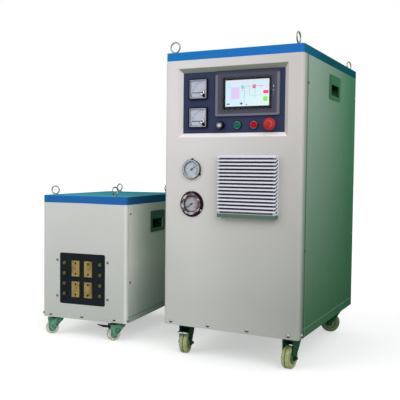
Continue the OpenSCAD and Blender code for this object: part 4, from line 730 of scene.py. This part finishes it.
# Square meters: face card, scale, damping cover and adjuster
CARD = 30.8
for label, mz in METER_ZS:
    px, pz = METER_X + 15, mz - 12
    piece(label + "_meter_card", MAIN, "power_cabinet", M["face"],
          lambda bm: slab(bm, METER_X - CARD, METER_X + CARD, 10.0, 10.45, mz - CARD, mz + CARD), bevel=0.1)

    def scale(bm):
        ring_y(bm, px, pz, 35.6, 36.2, 9.9, 10.0, 270, 360, 128)
        for k in range(21):
            long = k % 4 == 0
            tick(bm, px, pz, 36.2, 39.6 if long else 38.0, 270 + 4.5 * k, 0.7 if long else 0.35, 9.9, 10.0)
        for k in range(6):
            a = math.radians(270 + 18 * k)
            number(bm, str(k), px + 31.5 * math.sin(a) + 0.6, pz + 31.5 * math.cos(a), 3.4, 9.9, 10.0)
        slab(bm, METER_X - 26, METER_X + 4, 9.9, 10.0, mz - 27.4, mz - 26.6)
        slab(bm, METER_X - 27.5, METER_X - 26, 9.9, 10.0, mz - 27.4, mz - 17)

    piece(label + "_meter_scale", MAIN, "power_cabinet", M["ink"], scale)
    piece(label + "_meter_cover", MAIN, "power_cabinet", M["hub"],
          lambda bm: ring_y(bm, px, pz, 3.6, 8.6, 7.25, 7.7, 20, 250, 48))
    piece(label + "_meter_edge", MAIN, "power_cabinet", M["ink"],
          lambda bm: ring_y(bm, px, pz, 8.6, 9.8, 7.3, 7.75, 10, 260, 48))

    def adjuster(bm):
        disc_y(bm, px + 6.5, pz - 9.5, 5.2, 4.6, 5.6)
        slab(bm, px + 3, px + 10, 4.5, 4.7, pz - 9.9, pz - 9.1)

    piece(label + "_meter_adjuster", MAIN, "power_cabinet", M["black"], adjuster, bevel=0.15)
    piece(label + "_meter_rim", MAIN, "power_cabinet", M["face"],
          lambda bm: frame_strip(bm, METER_X, mz, 62, 62, 1.4, 5.05, 5.45))

# Round gauges: printed dials, the lower one duller and with a wider dark ring
for label, gz, size, face, ring in (("upper", UPPER_GAUGE_Z, 1.0, "gauge_face", 26.8),
                                    ("lower", LOWER_GAUGE_Z, 0.88, "gauge_face_dull", 24.4)):
    piece(label + "_gauge_dial", MAIN, "power_cabinet", M[face],
          lambda bm: disc_y(bm, GAUGE_X, gz, 27.6, -3.75, -3.5), bevel=0.05)

    def scale(bm):
        for k in range(41):
            long = k % 4 == 0
            tick(bm, GAUGE_X, gz, (20.6 if long else 22.4) * size, 24.6 * size, -135 + 6.75 * k,
                 1.1 if long else 0.5, -3.9, -3.75)
        ring_y(bm, GAUGE_X, gz, 24.6 * size, 25.2 * size, -3.9, -3.75, -135, 135, 128)
        for k in range(6):
            a = math.radians(-135 + 54 * k)
            number(bm, str(2 * k), GAUGE_X + 16.8 * size * math.sin(a), gz + 16.8 * size * math.cos(a),
                   3.2, -3.9, -3.75)
        ring_y(bm, GAUGE_X, gz, ring, 27.6, -3.9, -3.75)

    piece(label + "_gauge_scale", MAIN, "power_cabinet", M["ink"], scale)
    piece(label + "_gauge_limit", MAIN, "power_cabinet", M["red_ink"],
          lambda bm: ring_y(bm, GAUGE_X, gz, 18.6 * size, 19.8 * size, -3.88, -3.75, 81, 135, 96))

# Touch screen picture, behind its glass
SX0, SX1, SZ0, SZ1 = 224.5, 378.5, 861.3, 947.3


def glow(name, color, strength=1.0):
    p = Paint(name)
    n = p.bsdf((0.0, 0.0, 0.0, 1), 0.5)
    n.inputs["Emission Color"].default_value = color
    n.inputs["Emission Strength"].default_value = strength
    return p.mat


def sky():
    """Pale cyan picture, whiter towards its lower right."""
    p = Paint("screen_sky")
    side = p.ramp(p.along(MAIN, X_AXIS), 0.22, 0.36)
    low = p.ramp(p.z, 0.955, 0.87)
    fine = p.ramp(p.noise(60.0, 2.0), 0.35, 0.65)
    color = p.mix(p.times(side, low), rgb(206, 238, 250), rgb(224, 250, 248))
    color = p.mix(p.times(fine, 0.3), color, rgb(238, 236, 252))
    n = p.bsdf((0.0, 0.0, 0.0, 1), 0.5)
    p.tree.links.new(color, n.inputs["Emission Color"])
    n.inputs["Emission Strength"].default_value = 1.0
    return p.mat


def panel_box(fx0, fx1, fz0, fz1, layer):
    """A box on the screen, in shares of its width and of its height from the top."""
    w, h = SX1 - SX0, SZ1 - SZ0
    y = 8.86 - 0.06 * layer
    return (SX0 + fx0 * w, SX0 + fx1 * w, y - 0.05, y, SZ1 - fz1 * h, SZ1 - fz0 * h)


piece("screen_mask", MAIN, "power_cabinet", plastic("screen_mask", rgb(14, 14, 18), 0.3, 0),
      lambda bm: slab(bm, SCREEN_X - 85.4, SCREEN_X + 85.4, 8.95, 9.18, SCREEN_Z - 50.9, SCREEN_Z + 50.9),
      bevel=0.05)
piece("screen_picture", MAIN, "power_cabinet", sky(),
      lambda bm: slab(bm, SX0, SX1, 8.86, 8.94, SZ0, SZ1))
UI = {
    "lilac": ((226, 206, 244), [(0.13, 0.33, 0.27, 0.72)]),
    "pink": ((250, 214, 232), [
        (0.0, 1.0, 0.02, 0.045), (0.08, 0.7, 0.10, 0.115), (0.50, 0.53, 0.29, 0.35),
        (0.78, 0.85, 0.20, 0.34), (0.925, 0.97, 0.22, 0.33), (0.50, 0.56, 0.22, 0.28),
        (0.80, 0.86, 0.86, 0.89)]),
    "magenta": ((232, 104, 156), [(0.625, 0.70, 0.20, 0.34)]),
    "leaf": ((120, 196, 150), [(0.382, 0.412, 0.25, 0.33)]),
    "line": ((132, 188, 206), [
        (0.36, 0.90, 0.245, 0.258), (0.438, 0.446, 0.26, 0.86), (0.55, 0.556, 0.26, 0.60),
        (0.68, 0.686, 0.34, 0.70), (0.06, 0.12, 0.245, 0.26), (0.36, 0.43, 0.40, 0.41),
        (0.37, 0.43, 0.22, 0.235), (0.37, 0.376, 0.22, 0.34), (0.424, 0.43, 0.22, 0.34),
        (0.37, 0.43, 0.33, 0.34), (0.56, 0.86, 0.60, 0.608)]),
    "red": ((250, 70, 110), [(0.87, 0.985, 0.43, 0.55)]),
    "green": ((150, 232, 80), [(0.87, 0.965, 0.665, 0.83)]),
    "ink": ((46, 26, 60), [
        (0.335, 0.405, 0.885, 0.915), (0.36, 0.38, 0.845, 0.955), (0.03, 0.10, 0.885, 0.925)]),
    "blue": ((80, 120, 236), [(0.475, 0.51, 0.92, 0.96)]),
}
for layer, (label, (color, boxes)) in enumerate(UI.items()):
    piece("screen_" + label, MAIN, "power_cabinet", glow("screen_" + label, rgb(*color)),
          lambda bm: [slab(bm, *panel_box(*b, 0.5 + layer * 0.2)) for b in boxes])
LAMPS = (("power", rgb(214, 244, 234), 1.0), ("run", rgb(196, 214, 208), 0.8),
         ("link", rgb(150, 160, 166), 0.5))
for k, (label, color, power) in enumerate(LAMPS):
    piece("screen_lamp_" + label, MAIN, "power_cabinet", glow("lamp_" + label, color, power),
          lambda bm: disc_y(bm, SCREEN_X + 92.5, 922.0 - 13 * k, 1.9, 5.7, 6.3, 20), bevel=0.1)

# Bezel: the raised step that frames the touch screen
piece("bezel_step", MAIN, "power_cabinet",
      plastic("bezel_step", rgb(70, 72, 84), 0.35, 0.03),
      lambda bm: frame_strip(bm, SCREEN_X, SCREEN_Z, 184, 115, 4.0, 5.4, 6.05), bevel=0.3)

# Knob: silver cap, its ring and a ribbed grip; buttons: a raised ring on each
piece("knob_cap", MAIN, "power_knob", M["chrome"],
      lambda bm: (disc_y(bm, KNOB_X, CONTROL_Z, 6.5, -6.95, -6.65),
                  ring_y(bm, KNOB_X, CONTROL_Z, 9.6, 10.2, -6.75, -6.6)), bevel=0.1)
piece("knob_grip", MAIN, "power_knob", M["black"],
      lambda bm: [tick(bm, KNOB_X, CONTROL_Z, 12.4, 13.6, 15 * k, 1.5, -4.6, 5.4) for k in range(24)],
      bevel=0.2)
for label, x, look in (("start", START_X, "button_green"), ("stop", STOP_X, "button_red")):
    piece(label + "_button_ring", MAIN, label + "_button", M[look],
          lambda bm: ring_y(bm, x, CONTROL_Z, 8.6, 9.4, 2.7, 3.1), bevel=0.1)


def crosses(bm, width, ys, zs):
    """Dark crosses on the screw heads on both sides of a cabinet: painted shade standing in for their cross
    recesses.
    """
    for x0, x1 in ((width + 2.45, width + 2.57), (-2.57, -2.45)):
        for y in ys:
            for z in zs:
                slab(bm, x0, x1, y - 2.3, y + 2.3, z - 0.4, z + 0.4)
                slab(bm, x0, x1, y - 0.4, y + 0.4, z - 2.3, z + 2.3)


# painted shade for the screws' cross recesses
piece("cover_screw_recess_shade", MAIN, "power_cabinet", M["ink"],
      lambda bm: crosses(bm, MAIN_W, (49, 650), (398, 934)))
piece("station_screw_recess_shade", STATION, "heating_station", M["ink"],
      lambda bm: crosses(bm, STATION_W, (25, 515), (228, 484)))


def fork_web(bm, spot, heading, reach, wheel_r, crown, low, half):
    """Web that joins a fork's legs above its wheel, along their front edge."""
    back = 22
    slope = (reach + back) / (crown - wheel_r)
    x0, x1 = -back, -back + slope * (crown - low)
    prism_y(bm, [(x0, crown), (x0 + 3, crown), (x1 + 3, low), (x1, low)], -half, half)
    bm.transform(Matrix.Translation((spot[0], spot[1], 0)) @ Matrix.Rotation(math.radians(heading), 4, "Z"))


for i, w in enumerate(WHERE):
    piece("fork_web_" + w, MAIN, "fork_" + w, M["fork"],
          lambda bm: fork_web(bm, MAIN_SPOTS[i], MAIN_HEADINGS[i], MAIN_TRAIL - 11, MAIN_WHEEL_R,
                              92.7, 71, 17.0), bevel=0.3)
    piece("station_fork_web_" + w, STATION, "station_fork_" + w, M["station_fork"],
          lambda bm: fork_web(bm, STATION_SPOTS[i], STATION_HEADINGS[i], STATION_TRAIL - 12, STATION_WHEEL_R,
                              55.7, 46, 14.0), bevel=0.3)


def race_ring(bm, x, y, r, z0, z1, steps=48):
    """Grease seal round a swivel race, between a plate and its fork."""
    rows = []
    for i in range(steps):
        a = 2 * math.pi * i / steps
        rows.append([bm.verts.new((x + q * math.cos(a), y + q * math.sin(a), z)) for q, z in
                     ((r - 2, z0), (r, z0 + 0.5), (r, z1 - 0.5), (r - 2, z1))])
    for i in range(steps):
        p, q = rows[i], rows[(i + 1) % steps]
        for k in range(4):
            bm.faces.new((p[k], p[(k + 1) % 4], q[(k + 1) % 4], q[k]))


piece("race_seals", MAIN, "power_cabinet", M["dark_steel"],
      lambda bm: [race_ring(bm, x, y, 27.0, 100.2, 103.0) for x, y in MAIN_SPOTS], smooth=True)
piece("station_race_seals", STATION, "heating_station", M["dark_steel"],
      lambda bm: [race_ring(bm, x, y, 22.0, 63.2, 65.6) for x, y in STATION_SPOTS], smooth=True)


# -------------------------------------------------------- light and camera

def sun(name, toward, strength, angle):
    light = bpy.data.lights.new(name, "SUN")
    light.energy = strength
    light.angle = math.radians(angle)
    obj = bpy.data.objects.new(name, light)
    obj.rotation_euler = Vector(toward).to_track_quat("Z", "Y").to_euler()
    bpy.context.scene.collection.objects.link(obj)


sun("key_light", (-0.50, -0.75, 0.62), 0.80, 40)
sun("fill_light", (0.66, -0.62, 0.50), 1.45, 50)

world = bpy.data.worlds.new("studio")
bpy.context.scene.world = world
world.use_nodes = True
tree = world.node_tree
tree.nodes.clear()
ray = tree.nodes.new("ShaderNodeLightPath")


def most(a, b):
    n = tree.nodes.new("ShaderNodeMath")
    n.operation = "MAXIMUM"
    tree.links.new(a, n.inputs[0])
    tree.links.new(b, n.inputs[1])
    return n.outputs[0]


seen = most(ray.outputs["Is Camera Ray"], ray.outputs["Is Transmission Ray"])
shiny = most(seen, ray.outputs["Is Glossy Ray"])
ambient, white = tree.nodes.new("ShaderNodeBackground"), tree.nodes.new("ShaderNodeBackground")
ambient.inputs[0].default_value = (0.97, 1.0, 0.98, 1)
ambient.inputs[1].default_value = 0.52
white.inputs[0].default_value = (1, 1, 1, 1)
white.inputs[1].default_value = 1.0
both = tree.nodes.new("ShaderNodeMixShader")
tree.links.new(shiny, both.inputs[0])
tree.links.new(ambient.outputs[0], both.inputs[1])
tree.links.new(white.outputs[0], both.inputs[2])
world_out = tree.nodes.new("ShaderNodeOutputWorld")
tree.links.new(both.outputs[0], world_out.inputs[0])

# Floor: pale, with the object's soft shadow
mesh = bpy.data.meshes.new("floor")
mesh.from_pydata([(-30, -30, 0), (30, -30, 0), (30, 30, 0), (-30, 30, 0)], [], [(0, 1, 2, 3)])
floor = bpy.data.objects.new("floor", mesh)
bpy.context.scene.collection.objects.link(floor)
p = Paint("floor_white")
n = p.bsdf((0.74, 0.74, 0.74, 1), 0.9, gloss=0.0)
lit = p.tree.nodes.new("ShaderNodeLightPath").outputs["Is Camera Ray"]
p.tree.links.new(p.times(lit, 0.46), n.inputs["Emission Strength"])
n.inputs["Emission Color"].default_value = (1, 1, 1, 1)
mesh.materials.append(p.mat)

# Camera, fitted to the photograph
cam = bpy.data.cameras.new("camera")
cam.sensor_width = 36
cam.lens = 59.02
cam.clip_end = 100
camera = bpy.data.objects.new("camera", cam)
pitch, roll = math.radians(2.653), math.radians(0.638)
flat = Vector((-0.45256, 0.89173, 0)).normalized()
forward = (flat * math.cos(pitch) + Vector((0, 0, -math.sin(pitch)))).normalized()
right0 = forward.cross(Vector(Z_AXIS)).normalized()
up0 = right0.cross(forward)
right = right0 * math.cos(roll) + up0 * math.sin(roll)
up = up0 * math.cos(roll) - right0 * math.sin(roll)
basis = Matrix((right, up, -forward)).transposed().to_4x4()
camera.matrix_world = Matrix.Translation(MAIN @ Vector((1142.5, -1978.2, 652.2))) @ basis
bpy.context.scene.collection.objects.link(camera)
bpy.context.scene.camera = camera
bpy.context.scene.view_settings.view_transform = "Standard"
